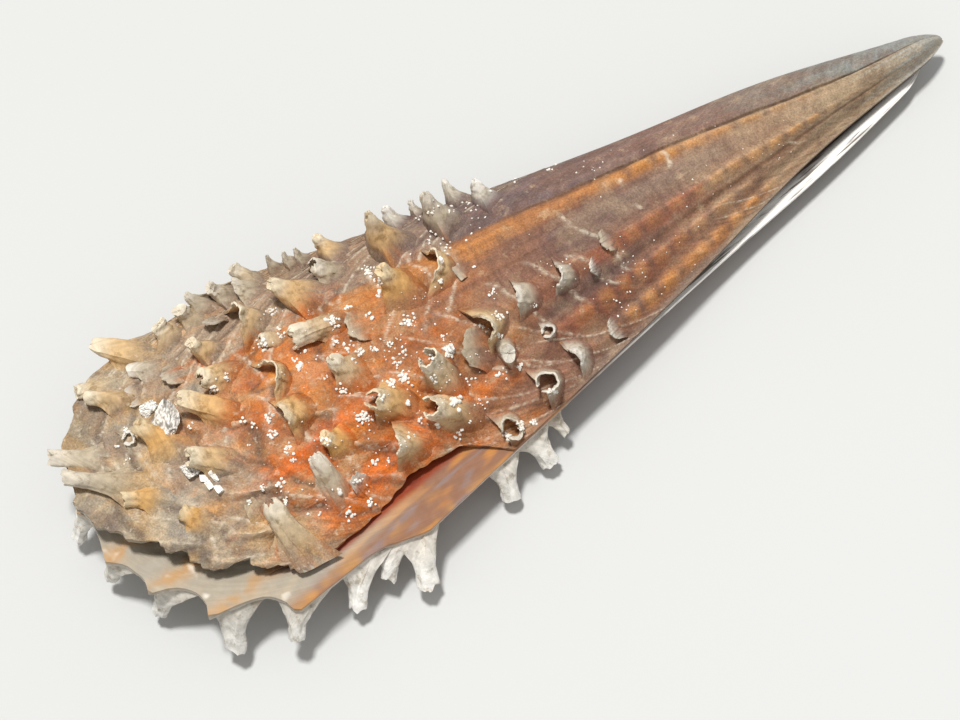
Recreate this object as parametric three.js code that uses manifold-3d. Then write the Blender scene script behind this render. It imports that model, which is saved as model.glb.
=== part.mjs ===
// A rough pen shell lying on one side: two joined valves that fan out from a narrow tip, rows of
// hollow spines on both, and the horny strip that joins them along the straight hinge edge.
import * as THREE from "three";
import { mergeVertices } from "three/addons/utils/BufferGeometryUtils.js";
import Module from "manifold-3d";

const wasm = await Module();
wasm.setup();

// Outline of a valve in the plane where the two valves meet, in millimetres
const LENGTH = 250; // tip to hind margin
const APEX = 15; // the wedge's corner lies this far beyond the worn tip
const CAP = 70; // length of the rounded hind end
const HALF_WIDTH = 39; // half width where the hind end begins
const CAP_START = LENGTH + APEX - CAP; // distance of that place from the wedge's corner
const SPREAD = Math.atan(HALF_WIDTH / CAP_START); // half the wedge's angle
const HINGE_SQUARENESS = 3.2; // how full the hind corner is on the hinge side
const GAPE_SQUARENESS = 2.0; // and on the gaping side
const BULGE = 2.6; // the hinge edge swells a little behind the tip
const BULGE_AT = 62;
const BULGE_SPAN = 34;
const FLARE_AT = 52; // the lower valve's gaping edge stands out behind the tip
const FLARE_SPAN = 26;

// Section of a valve
const WALL = 1.6; // wall thickness
const EDGE = 1.2; // height of the edge face along the sides
const GAPE_LIFT = 0.2; // half the gap between the valves on the gaping side
const HINGE_LIFT = 0.8; // and on the hinge side
const TIP_SHARE = 0.16; // height at the tip, as a share of the crown
const FULL_AT = 0.68; // share of the length where the crown is reached
const FALL_FROM = 0.62; // share of the length where it starts to fall to the hind margin
const FALL = 0.75; // how much of the crown is gone at the hind margin
const TIP_ROUND = 2.5; // length of the rounded point
const TIP_OUTSIDE = 0.45; // height of the rounded point, as a share of the tip's height
const TIP_INSIDE = 0.3; // and of the hollow behind it
const RIB_HEIGHT = 0.7;
const RIB_WIDTH = 0.06;
const RIBS = [-0.84, -0.6, -0.42, -0.23, 0.1, 0.36, 0.57, 0.75, 0.92];
const LEDGES = [0.84, 0.93]; // growth steps near the hind end, as shares of the length
const LEDGE_DROP = 0.6;
const LEDGE_STEP = 0.008; // half the length of a step, as a share

// Hollow spines
const SPINE_SINK = 0.9; // the root is sunk this far into the wall
const SPINE_SKIRT = 1.35; // the root is this much wider than the spine
const SPINE_TIP = 0.62; // and the tip this much narrower
const SPINE_KNEE = 0.35; // share of the length where the skirt ends
const ROOT_DEPTH = 0.5; // depth of the hood at the root, as a share of the width
const HOOD_DEPTH = 0.45; // and above the skirt
const ROOT_REACH = 0.97; // roots stay inside this place across
const ROOT_INSET = 1; // and this far from the margin

// Hinge strip
const STRIP_HALF = 0.5; // half its thickness, which leaves 0.3 to each valve
const STRIP_DEEP = 3.0;
const STRIP_INSET = 0.4;
const STRIP_FROM = 14;
const STRIP_TO = 165;
const STRIP_STEPS = 16;

// Pose: the shell lies on its lower valve with the tip down
const TILT = 2.8; // degrees
const TIP_AT = new THREE.Vector3(124.1, -1.28, 6.3);

const UPPER = { side: 1, crown: 14.5, worn: 0, flare: 0, trim: 7, colour: 0xb07040 };
const LOWER = { side: -1, crown: 11, worn: 8, flare: 4, trim: 0, colour: 0x8a6a54 };

const STRIP_COLOUR = 0x2e1c12;
const SHELL_ROUGHNESS = 0.6;
const STRIP_ROUGHNESS = 0.5;

// Where the upper valve has broken away along the gaping edge: place across, and distance from the tip
const BREAK = [
  [-1.05, 148], [-0.86, 162], [-0.7, 174], [-0.66, 182], [-0.71, 191],
  [-0.75, 202], [-0.74, 210], [-0.7, 219], [-0.9, 232], [-1.3, 205], [-1.3, 150],
];
const BREAK_FROM = -10; // the break is cut from this height
const BREAK_DEPTH = 60;

// Spines: place across (-1 gaping edge, 1 hinge edge), distance from the tip, length, width,
// angle above the surface, and swing of the point towards the hinge in degrees
const UPPER_SPINES = [
  [0.85, 126, 9, 5, 65, 0], [0.96, 132, 9, 5, 70, 0], [0.97, 144, 6, 4, 70, 0],
  [0.97, 149, 9, 5, 65, 0],
  [0.96, 167, 6, 5, 55, 0], [0.96, 181, 5, 4, 60, 0], [0.94, 188, 5, 6, 50, 0],
  [0.9, 196, 5, 5, 45, 10], [0.86, 205, 6, 6, 40, 20], [0.8, 213, 6, 6, 35, 25],
  [0.74, 222, 13, 7, 18, 38],
  [0.73, 142, 9, 6, 70, 0], [0.71, 154, 14, 9, 75, 0], [0.8, 166, 5, 5, 50, 0],
  [0.75, 172, 7, 6, 60, 0],
  [0.85, 190, 6, 5, 50, 0], [0.63, 179, 10, 8, 50, 0], [0.62, 194, 8, 8, 55, 0],
  [0.61, 206, 8, 6, 45, 0],
  [0.7, 214, 6, 6, 40, 10], [0.54, 225, 5, 6, 35, 0], [0.57, 232, 7, 6, 25, 10],
  [0.28, 143, 2.5, 8, 45, 0], [0.34, 150, 4, 7, 50, 0], [0.32, 157, 11, 8, 72, 0],
  [0.33, 175, 6, 6, 40, 0],
  [0.34, 184, 7, 5, 25, 0], [0.45, 192, 5, 5, 30, 0], [0.46, 207, 7, 7, 45, 0], [0.3, 214, 9, 6, 22, 0],
  [0.26, 226, 7, 6, 30, 0], [0.38, 240, 12, 6, 10, 0],
  [0.21, 171, 3, 9, 35, 0], [0.2, 196, 4, 9, 55, 0], [0.13, 232, 4, 6, 30, 0],
  [0.19, 240, 11, 6, 10, 0],
  [-0.02, 180, 8, 6, 60, 20], [-0.04, 197, 6, 8, 45, 0], [-0.02, 220, 5, 6, 35, 0],
  [0.01, 234, 8, 6, 14, 0],
  [-0.23, 108, 4, 4, 25, 0], [-0.35, 115, 4, 6, 40, 0], [-0.26, 124, 6, 6, 55, 0],
  [-0.22, 133, 6, 6, 30, 0],
  [-0.26, 146, 7, 7, 45, 0], [-0.35, 153, 4, 8, 50, 0], [-0.33, 161, 9, 7, 40, 0],
  [-0.3, 176, 9, 7, 30, 0],
  [-0.32, 192, 6, 6, 40, 0], [-0.19, 229, 6, 7, 45, 0], [-0.3, 224, 5, 6, 30, 0],
  [-0.54, 134, 3, 4, 40, 0], [-0.44, 147, 5, 6, 80, 0], [-0.55, 165, 10, 6, 30, 28],
  [-0.53, 179, 7, 7, 50, 0],
  [-0.57, 191, 5, 5, 40, 0], [-0.54, 199, 15, 6, 25, 80], [-0.62, 214, 16, 7, 25, 75],
  [-0.84, 118, 3.5, 5, 40, 0], [-0.81, 131, 5, 6, 35, 0], [-0.82, 142, 6, 7, 70, 0],
  [-0.86, 156, 5, 6, 75, 0],
];
const LOWER_SPINES = [
  [0.2, 243, 10, 6, 60, -60], [-0.08, 243, 10, 7, 40, -35], [-0.3, 239, 12, 8, 50, -35],
  [-0.5, 231, 15, 9, 54, -48], [-0.69, 216, 15, 9, 42, -32], [-0.84, 203, 13, 6, 62, -42],
  [-0.92, 193, 9, 5, 50, -50], [-0.94, 185, 14, 7, 55, -70], [-0.94, 162, 13, 7, 53, -55],
  [-0.94, 149, 11, 7, 58, -80], [-0.93, 142, 6, 5, 45, -60],
  [0.85, 146, 7, 5, 60, 0], [0.85, 165, 7, 6, 60, 0], [0.85, 184, 8, 6, 55, 0],
  [0.8, 204, 8, 6, 50, 10],
  [0.6, 160, 5, 6, 60, 0], [0.6, 179, 7, 6, 60, 0], [0.6, 198, 9, 7, 55, 0], [0.58, 218, 8, 7, 45, 0],
  [0.33, 176, 6, 6, 65, 0], [0.33, 195, 11, 8, 75, 0], [0.33, 220, 9, 7, 50, 0],
  [0.06, 179, 7, 6, 65, 0], [0.06, 200, 10, 8, 75, 0], [0.06, 224, 8, 7, 45, 0],
  [-0.33, 170, 6, 6, 65, 0], [-0.33, 192, 12, 8, 75, 0], [-0.33, 216, 9, 7, 50, 0],
  [-0.58, 151, 6, 6, 60, 0], [-0.58, 171, 7, 6, 60, 0], [-0.58, 190, 8, 7, 55, 0],
  [-0.58, 208, 8, 7, 45, -10],
];

function smooth(from, to, value) {
  const share = THREE.MathUtils.clamp((value - from) / (to - from), 0, 1);
  return share * share * (3 - 2 * share);
}

// Distance from the wedge's corner to the margin: straight sides, then a rounded hind end
function marginRadius(across) {
  const angle = across * SPREAD;
  const power = across > 0 ? HINGE_SQUARENESS : GAPE_SQUARENESS;
  let inside = CAP_START / 2;
  let outside = 2 * (LENGTH + APEX);
  for (let step = 0; step < 40; step += 1) {
    const radius = (inside + outside) / 2;
    const along = Math.max(radius * Math.cos(angle) - CAP_START, 0) / CAP;
    const sideways = Math.abs(radius * Math.sin(angle)) / HALF_WIDTH;
    if (along ** power + sideways ** power > 1) outside = radius;
    else inside = radius;
  }
  return inside;
}

function bell(value, middle, width) {
  return Math.exp(-(((value - middle) / width) ** 2));
}

// Point of the outline plane that lies at this place across and this far from the wedge's corner
function plan(valve, across, radius) {
  const angle = across * SPREAD;
  const bulge = BULGE * bell(radius, BULGE_AT, BULGE_SPAN) * smooth(0.2, 1, across);
  const flare = valve.flare * bell(radius, FLARE_AT, FLARE_SPAN) * smooth(-0.3, -1, across);
  return [APEX - radius * Math.cos(angle), radius * Math.sin(angle) + bulge - flare];
}

// Height along the valve: it swells from the tip and falls again towards the hind margin
function rise(share) {
  const swell = Math.sin((Math.min(share / FULL_AT, 1) * Math.PI) / 2) ** 0.9;
  const fall = FALL * smooth(FALL_FROM, 1, share) ** 1.2;
  return (TIP_SHARE + (1 - TIP_SHARE) * swell) * (1 - fall);
}

// Height across the valve: steep at the hinge, running out flat towards the gaping edge
function arch(across) {
  if (across >= 0) return Math.max(1 - across ** 2.2, 0) ** 0.9;
  return 0.5 + 0.5 * Math.cos(Math.PI * Math.abs(across) ** 1.2);
}

function gapLift(across) {
  return GAPE_LIFT + (HINGE_LIFT - GAPE_LIFT) * smooth(-1, 1, across);
}

function relief(across, share) {
  const inside = smooth(1, 0.9, Math.abs(across));
  const ribs = RIBS.reduce((sum, place) => sum + bell(across, place, RIB_WIDTH), 0);
  const steps = LEDGES.reduce((sum, place) => sum + smooth(place - LEDGE_STEP, place + LEDGE_STEP, share), 0);
  return inside * (RIB_HEIGHT * ribs * smooth(1, 0.8, share) - LEDGE_DROP * steps);
}

// Margin of one valve: the upper one is worn back where it meets the gaping edge
function edgeRadius(valve, across) {
  return marginRadius(across) - valve.trim * smooth(0.1, -0.2, across);
}

function outer(valve, across, radius) {
  const [x, y] = plan(valve, across, radius);
  const share = radius / marginRadius(across);
  const dome = valve.crown * rise(share) * arch(across);
  const height = gapLift(across) + EDGE + dome + relief(across, share);
  return new THREE.Vector3(x, y, valve.side * height);
}

function directions(valve, across, radius) {
  const step = 0.01;
  const low = outer(valve, Math.max(across - step, -1), radius);
  const high = outer(valve, Math.min(across + step, 1), radius);
  const back = outer(valve, across, radius + 1).sub(outer(valve, across, radius - 1)).normalize();
  const out = high.sub(low).cross(back).multiplyScalar(valve.side).normalize();
  const hingeward = back.clone().cross(out).multiplyScalar(valve.side);
  return { back, out, hingeward };
}

function inner(valve, across, radius) {
  const { out } = directions(valve, across, radius);
  const point = outer(valve, across, radius).addScaledVector(out, -WALL);
  point.z = valve.side * Math.max(valve.side * point.z, gapLift(across));
  return point;
}

// Closed solid from corner points and triangles, turned so that its faces point out
function solid(points, faces) {
  let volume = 0;
  for (const [a, b, c] of faces) {
    volume += points[a].dot(points[b].clone().cross(points[c]));
  }
  const turned = volume < 0 ? faces.map(([a, b, c]) => [a, c, b]) : faces;
  const vertProperties = new Float32Array(points.flatMap((point) => point.toArray()));
  const triVerts = new Uint32Array(turned.flat());
  return new wasm.Manifold(new wasm.Mesh({ numProp: 3, vertProperties, triVerts }));
}

function quad(faces, a, b, c, d) {
  faces.push([a, b, c], [a, c, d]);
}

// Columns across a valve: one on each rib, one in each furrow, and the two edges
function columns() {
  const places = [-1, -0.95];
  RIBS.forEach((rib, index) => {
    places.push(rib);
    if (index < RIBS.length - 1) places.push((rib + RIBS[index + 1]) / 2);
  });
  places.push(0.97, 1);
  return places.sort((a, b) => a - b);
}

// Rows along a valve, as shares of its length: even steps, with a pair at each ledge
function rows() {
  const shares = [0, 0.06, 0.14, 0.23, 0.33, 0.43, 0.53, 0.62, 0.7, 0.77, 0.89, 0.97, 1];
  LEDGES.forEach((ledge) => shares.push(ledge - LEDGE_STEP, ledge + LEDGE_STEP));
  return shares.sort((a, b) => a - b);
}

// One valve: an outer and an inner skin from the tip to the margin, joined along the edge
function valveSolid(valve) {
  const places = columns();
  const start = APEX + valve.worn;
  const skins = [[], []];
  for (const share of rows()) {
    for (const across of places) {
      const radius = start + (edgeRadius(valve, across) - start) * share;
      skins[0].push(outer(valve, across, radius));
      skins[1].push(inner(valve, across, radius));
    }
  }
  const width = places.length;
  const count = skins[0].length;
  const tipHeight = outer(valve, 0, start).z;
  const outerPole = new THREE.Vector3(TIP_ROUND - valve.worn, 0, tipHeight * TIP_OUTSIDE);
  const innerPole = new THREE.Vector3(TIP_ROUND - WALL - valve.worn, 0, tipHeight * TIP_INSIDE);
  const points = [...skins[0], ...skins[1], outerPole, innerPole];
  const poles = [2 * count, 2 * count + 1];
  const faces = [];
  for (let row = 0; row + width < count; row += width) {
    for (let column = 0; column + 1 < width; column += 1) {
      const corner = row + column;
      quad(faces, corner, corner + 1, corner + width + 1, corner + width);
      quad(faces, count + corner, count + corner + width, count + corner + width + 1, count + corner + 1);
    }
    const last = row + width - 1;
    quad(faces, row, row + width, count + row + width, count + row);
    quad(faces, last, count + last, count + last + width, last + width);
  }
  for (let column = 0; column + 1 < width; column += 1) {
    const hind = count - width + column;
    quad(faces, hind, hind + 1, count + hind + 1, count + hind);
    faces.push([poles[0], column + 1, column], [poles[1], count + column, count + column + 1]);
  }
  quad(faces, poles[0], 0, count, poles[1]);
  quad(faces, poles[0], poles[1], count + width - 1, width - 1);
  return solid(points, faces);
}

// Crescent section of a spine, as pairs of width and depth shares: the back first, then the hollow
const CRESCENT = [0, 60, 120, 180].map((degrees) => crescentPoint(degrees, 1, 1));
CRESCENT.push(...[130, 50].map((degrees) => crescentPoint(degrees, 0.75, 0.4)));

function crescentPoint(degrees, wide, deep) {
  const angle = THREE.MathUtils.degToRad(degrees);
  return [wide * Math.cos(angle), deep * Math.sin(angle)];
}

// A hollow spine: a hood that rises from the wall and narrows to a blunt point, open behind
function spine(valve, [across, reach, length, width, lean, swing]) {
  const radius = reach + APEX;
  const { back, out, hingeward } = directions(valve, across, radius);
  const turn = THREE.MathUtils.degToRad(swing);
  const angle = THREE.MathUtils.degToRad(lean);
  const ahead = back.clone().multiplyScalar(Math.cos(turn)).addScaledVector(hingeward, Math.sin(turn));
  const aside = hingeward.clone().multiplyScalar(Math.cos(turn)).addScaledVector(back, -Math.sin(turn));
  const course = ahead.clone().multiplyScalar(Math.cos(angle)).addScaledVector(out, Math.sin(angle));
  const crest = out.clone().multiplyScalar(Math.cos(angle)).addScaledVector(ahead, -Math.sin(angle));
  const points = [];
  for (const [wide, deep] of CRESCENT) {
    const offset = aside.clone().multiplyScalar((wide * SPINE_SKIRT * width) / 2);
    offset.addScaledVector(ahead, -deep * width * ROOT_DEPTH);
    const shifted = across + offset.dot(hingeward) / (radius * SPREAD);
    const place = THREE.MathUtils.clamp(shifted, -ROOT_REACH, ROOT_REACH);
    const reachHere = Math.min(radius + offset.dot(back), edgeRadius(valve, place) - ROOT_INSET);
    const { out: outHere } = directions(valve, place, reachHere);
    points.push(outer(valve, place, reachHere).addScaledVector(outHere, -SPINE_SINK));
  }
  const root = outer(valve, across, Math.min(radius, edgeRadius(valve, across) - ROOT_INSET));
  for (const [share, scale] of [[SPINE_KNEE, 1], [1, SPINE_TIP]]) {
    const middle = root.clone().addScaledVector(course, share * length);
    for (const [wide, deep] of CRESCENT) {
      const point = middle.clone().addScaledVector(aside, (wide * scale * width) / 2);
      points.push(point.addScaledVector(crest, deep * scale * width * HOOD_DEPTH));
    }
  }
  const size = CRESCENT.length;
  const faces = [];
  for (let ring = 0; ring + size < points.length; ring += size) {
    for (let corner = 0; corner < size; corner += 1) {
      const next = (corner + 1) % size;
      quad(faces, ring + corner, ring + next, ring + size + next, ring + size + corner);
    }
  }
  const top = points.length - size;
  for (const [a, b, c] of [[0, 1, 5], [1, 4, 5], [1, 2, 4], [2, 3, 4]]) {
    faces.push([a, c, b], [top + a, top + b, top + c]);
  }
  return solid(points, faces);
}

function withSpines(body, valve, spines) {
  return spines.reduce((sum, row) => sum.add(spine(valve, row)), body);
}

function solidOf(geometry) {
  geometry.deleteAttribute("normal");
  geometry.deleteAttribute("uv");
  const merged = mergeVertices(geometry);
  const vertProperties = merged.getAttribute("position").array;
  const triVerts = new Uint32Array(merged.index.array);
  return new wasm.Manifold(new wasm.Mesh({ numProp: 3, vertProperties, triVerts }));
}

// The piece that has broken out of the upper valve, as an upright block
function brokenBlock() {
  const outline = BREAK.map(([across, reach]) => new THREE.Vector2(...plan(UPPER, across, reach + APEX)));
  const settings = { depth: BREAK_DEPTH, bevelEnabled: false };
  const block = new THREE.ExtrudeGeometry(new THREE.Shape(outline), settings);
  return solidOf(block.translate(0, 0, BREAK_FROM));
}

// The ground under the shell, seen from the shell's own frame: what rests on it is worn flat
function ground(pose) {
  const block = new THREE.BoxGeometry(2 * LENGTH, LENGTH, LENGTH);
  return solidOf(block.translate(0, 0, -LENGTH / 2).applyMatrix4(pose.clone().invert()));
}

// The horny strip between the valves along the hinge edge
function stripSolid() {
  const points = [];
  for (let step = 0; step < STRIP_STEPS; step += 1) {
    const radius = APEX + STRIP_FROM + ((STRIP_TO - STRIP_FROM) * step) / (STRIP_STEPS - 1);
    const [x, y] = plan(UPPER, 1, radius);
    for (const [inset, height] of [[0, -1], [0, 1], [STRIP_DEEP, 1], [STRIP_DEEP, -1]]) {
      points.push(new THREE.Vector3(x, y - STRIP_INSET - inset, height * STRIP_HALF));
    }
  }
  const faces = [[0, 1, 2], [0, 2, 3]];
  for (let ring = 0; ring + 4 < points.length; ring += 4) {
    for (let corner = 0; corner < 4; corner += 1) {
      const next = (corner + 1) % 4;
      quad(faces, ring + next, ring + corner, ring + 4 + corner, ring + 4 + next);
    }
  }
  const end = points.length - 4;
  faces.push([end, end + 2, end + 1], [end, end + 3, end + 2]);
  return solid(points, faces);
}

function mesh(name, body, colour, roughness) {
  const { vertProperties, triVerts } = body.getMesh();
  const geometry = new THREE.BufferGeometry();
  geometry.setAttribute("position", new THREE.BufferAttribute(vertProperties, 3));
  geometry.setIndex(new THREE.BufferAttribute(triVerts, 1));
  geometry.computeVertexNormals();
  const finish = new THREE.MeshStandardMaterial({ color: colour, roughness, metalness: 0 });
  const piece = new THREE.Mesh(geometry, finish);
  piece.name = name;
  return piece;
}

const shell = new THREE.Group();
shell.rotation.y = THREE.MathUtils.degToRad(TILT);
shell.position.copy(TIP_AT);
shell.updateMatrix();

const upper = withSpines(valveSolid(UPPER).subtract(brokenBlock()), UPPER, UPPER_SPINES);
const lower = withSpines(valveSolid(LOWER), LOWER, LOWER_SPINES).subtract(ground(shell.matrix));
shell.add(mesh("upper_valve", upper, UPPER.colour, SHELL_ROUGHNESS));
shell.add(mesh("lower_valve", lower, LOWER.colour, SHELL_ROUGHNESS));
shell.add(mesh("ligament", stripSolid(), STRIP_COLOUR, STRIP_ROUGHNESS));

const penShell = new THREE.Group();
penShell.add(shell);
export default penShell;
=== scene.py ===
import math

import bmesh
import bpy
import numpy as np
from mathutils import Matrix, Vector
from mathutils.bvhtree import BVHTree


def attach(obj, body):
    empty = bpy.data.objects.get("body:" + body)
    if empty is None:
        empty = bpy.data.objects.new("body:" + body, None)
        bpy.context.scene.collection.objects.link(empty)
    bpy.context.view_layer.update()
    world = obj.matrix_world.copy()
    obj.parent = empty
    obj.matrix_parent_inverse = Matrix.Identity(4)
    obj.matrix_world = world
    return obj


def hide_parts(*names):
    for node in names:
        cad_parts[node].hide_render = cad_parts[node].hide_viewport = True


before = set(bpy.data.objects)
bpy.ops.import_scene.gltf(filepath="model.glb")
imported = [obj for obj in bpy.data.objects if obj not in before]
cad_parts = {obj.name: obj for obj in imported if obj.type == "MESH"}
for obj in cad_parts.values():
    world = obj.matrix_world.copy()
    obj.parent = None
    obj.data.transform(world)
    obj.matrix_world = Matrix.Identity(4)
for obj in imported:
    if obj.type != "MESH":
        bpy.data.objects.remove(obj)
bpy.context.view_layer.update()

# Sizes are in millimetres in the shell's own frame: the tip at the origin, the hind end towards -X,
# the hinge edge towards +Y and the upper valve towards +Z. "Across" runs from -1 at the gaping edge
# to 1 at the hinge edge, "radius" from the wedge's corner, and "reach" from the tip.
MM = 0.001

# Outline of a valve, as in the solid model
LENGTH = 250.0
APEX = 15.0
CAP = 70.0
HALF_WIDTH = 39.0
CAP_START = LENGTH + APEX - CAP
SPREAD = math.atan(HALF_WIDTH / CAP_START)
HINGE_SQUARENESS = 3.2
GAPE_SQUARENESS = 2.0
BULGE, BULGE_AT, BULGE_SPAN = 2.6, 62.0, 34.0

# Section of a valve
WALL, THINNEST = 1.6, 0.05
EDGE = 1.2
GAPE_LIFT, HINGE_LIFT = 0.2, 0.8
TIP_SHARE, FULL_AT, FALL_FROM, FALL = 0.16, 0.68, 0.62, 0.82
RISE_POWER, FALL_POWER = 0.9, 1.2
HINGE_ARCH, GAPE_ARCH = (2.2, 0.9), 1.2
BULGE_ACROSS, FLARE_ACROSS = (0.2, 1), (-0.3, -1)
TIP_ROUND = 1.6
TIP_LENGTH = 10.0
PLATES = ((0.74, 0.5), (0.795, 0.85), (0.845, 1.1), (0.89, 1.15), (0.93, 1.05), (0.965, 0.75))
PLATE_LENGTH, PLATE_STEP = 0.05, 0.0018
FURROW = 0.45
FURROW_DRIFT, FURROW_FROM, FURROW_TO = 0.29, 10.0, 85.0
CREASE_AT, CREASE_HALF = 0.005, 0.004
PLATE_WAVES = ((0.018, 6, 3.7, 8), (0.009, 19, 5.1, 9))
LAMELLA, LAMELLA_STEP, LAMELLA_HIND = 5.5, 0.12, 0.3
GROWTH_WAVE = 2.2
FINE_LINES, FINE_RIBS, PITS = 0.06, 0.1, 0.14
HUMMOCKS, WORN_HUMMOCKS = 0.12, 0.75
GAP_LIFT, GAP_AT, GAP_SPAN = 1.5, 45.0, 45.0
RIM_DEPTH, RIM_AT, RIM_SPAN = 2.4, 58.0, 48.0
SIDE_RIM_BEGIN, FRONT_RIM_END = (130, 160), (150, 100)
HINGE_WEAR = 0.009

# Ribs: lane, height and half width; where they begin and end, how they swell and wander
RIBS_BEGIN, RIBS_END = (15, 90), (1, 0.8)
RIB_SWELL, RIB_WANDER = 0.4, 0.012
RIBS = (
    (-0.84, 0.75, 0.055), (-0.6, 0.85, 0.06), (-0.42, 0.3, 0.04), (-0.25, 0.85, 0.07), (0.1, 0.3, 0.06),
    (0.37, 0.9, 0.065), (0.57, 0.45, 0.035), (0.75, 0.6, 0.05), (0.92, 0.5, 0.04),
)

# Furrows below the hinge strip and by the gaping side: depth, half width; where they begin and end
HINGE_FURROW, HINGE_FURROW_HALF, HINGE_FURROW_END = 0.7, 0.028, (135, 90)
GAPE_FURROW, GAPE_FURROW_HALF = 0.45, 0.04
FURROWS_BEGIN, FURROWS_END = (8, 30), (170, 120)

# Rows of worn scales, low knobs along the ribs: lane, reach from and to, spacing
KNOBS = ((-0.83, 58, 122, 7.5), (-0.61, 66, 126, 7.0), (-0.29, 34, 120, 6.5), (0.33, 40, 100, 8.0))
# Height and half width of a knob, and the strength of the painted shade in the dents between knobs
KNOB_HEIGHT, KNOB_HALF, DENT_SHADE = 0.75, 0.07, 1.1

# Pose of the shell on the floor
TILT = math.radians(2.8)
TIP_AT = np.array([124.1, -1.28, 6.3])

# The flare is a bulge of the gaping edge: height, radius and half length
UPPER = {"side": 1, "crown": 14.5, "worn": 0.0, "flare": (-2.5, 64.0, 38.0), "seed": 11}
LOWER = {"side": -1, "crown": 11.0, "worn": 7.0, "flare": (0.9, 56.0, 28.0), "seed": 47}

# Edge of the upper valve on the gaping side, where a piece is broken away: share of the length and place
BREAK = (
    (0.0, -1.0), (0.735, -1.0), (0.745, -0.92), (0.757, -0.84), (0.767, -0.78), (0.778, -0.742),
    (0.793, -0.712), (0.82, -0.685), (0.84, -0.69), (0.86, -0.715), (0.885, -0.725), (0.93, -0.735),
    (0.965, -0.72), (1.0, -0.67),
)
BREAK_TO = -0.735

# Beside the break the upper wall sags, and the lower wall is thicker
BREAK_BEGINS, BREAK_ENDS = (0.71, 0.78), (0.98, 0.88)
SAG, SAG_AT, SAG_SPAN = 1.8, -0.76, 0.2
SHELF, SHELF_FROM, SHELF_TO = 2.6, -0.45, -0.7

# Tears in the upper margin: place across, how far the margin stands out there, half width
TEARS = (
    (-0.72, 7.0, 0.05), (-0.5, -4.0, 0.022), (-0.29, -2.6, 0.03), (-0.18, -2.0, 0.06), (-0.02, -1.2, 0.04),
)
TRIM, TRIM_FROM, TRIM_TO = 7.0, 0.1, -0.2

# Hind corner on the hinge side, fuller than an even curve
CORNER, CORNER_AT, CORNER_SPAN = 5.0, 0.77, 0.12

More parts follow.
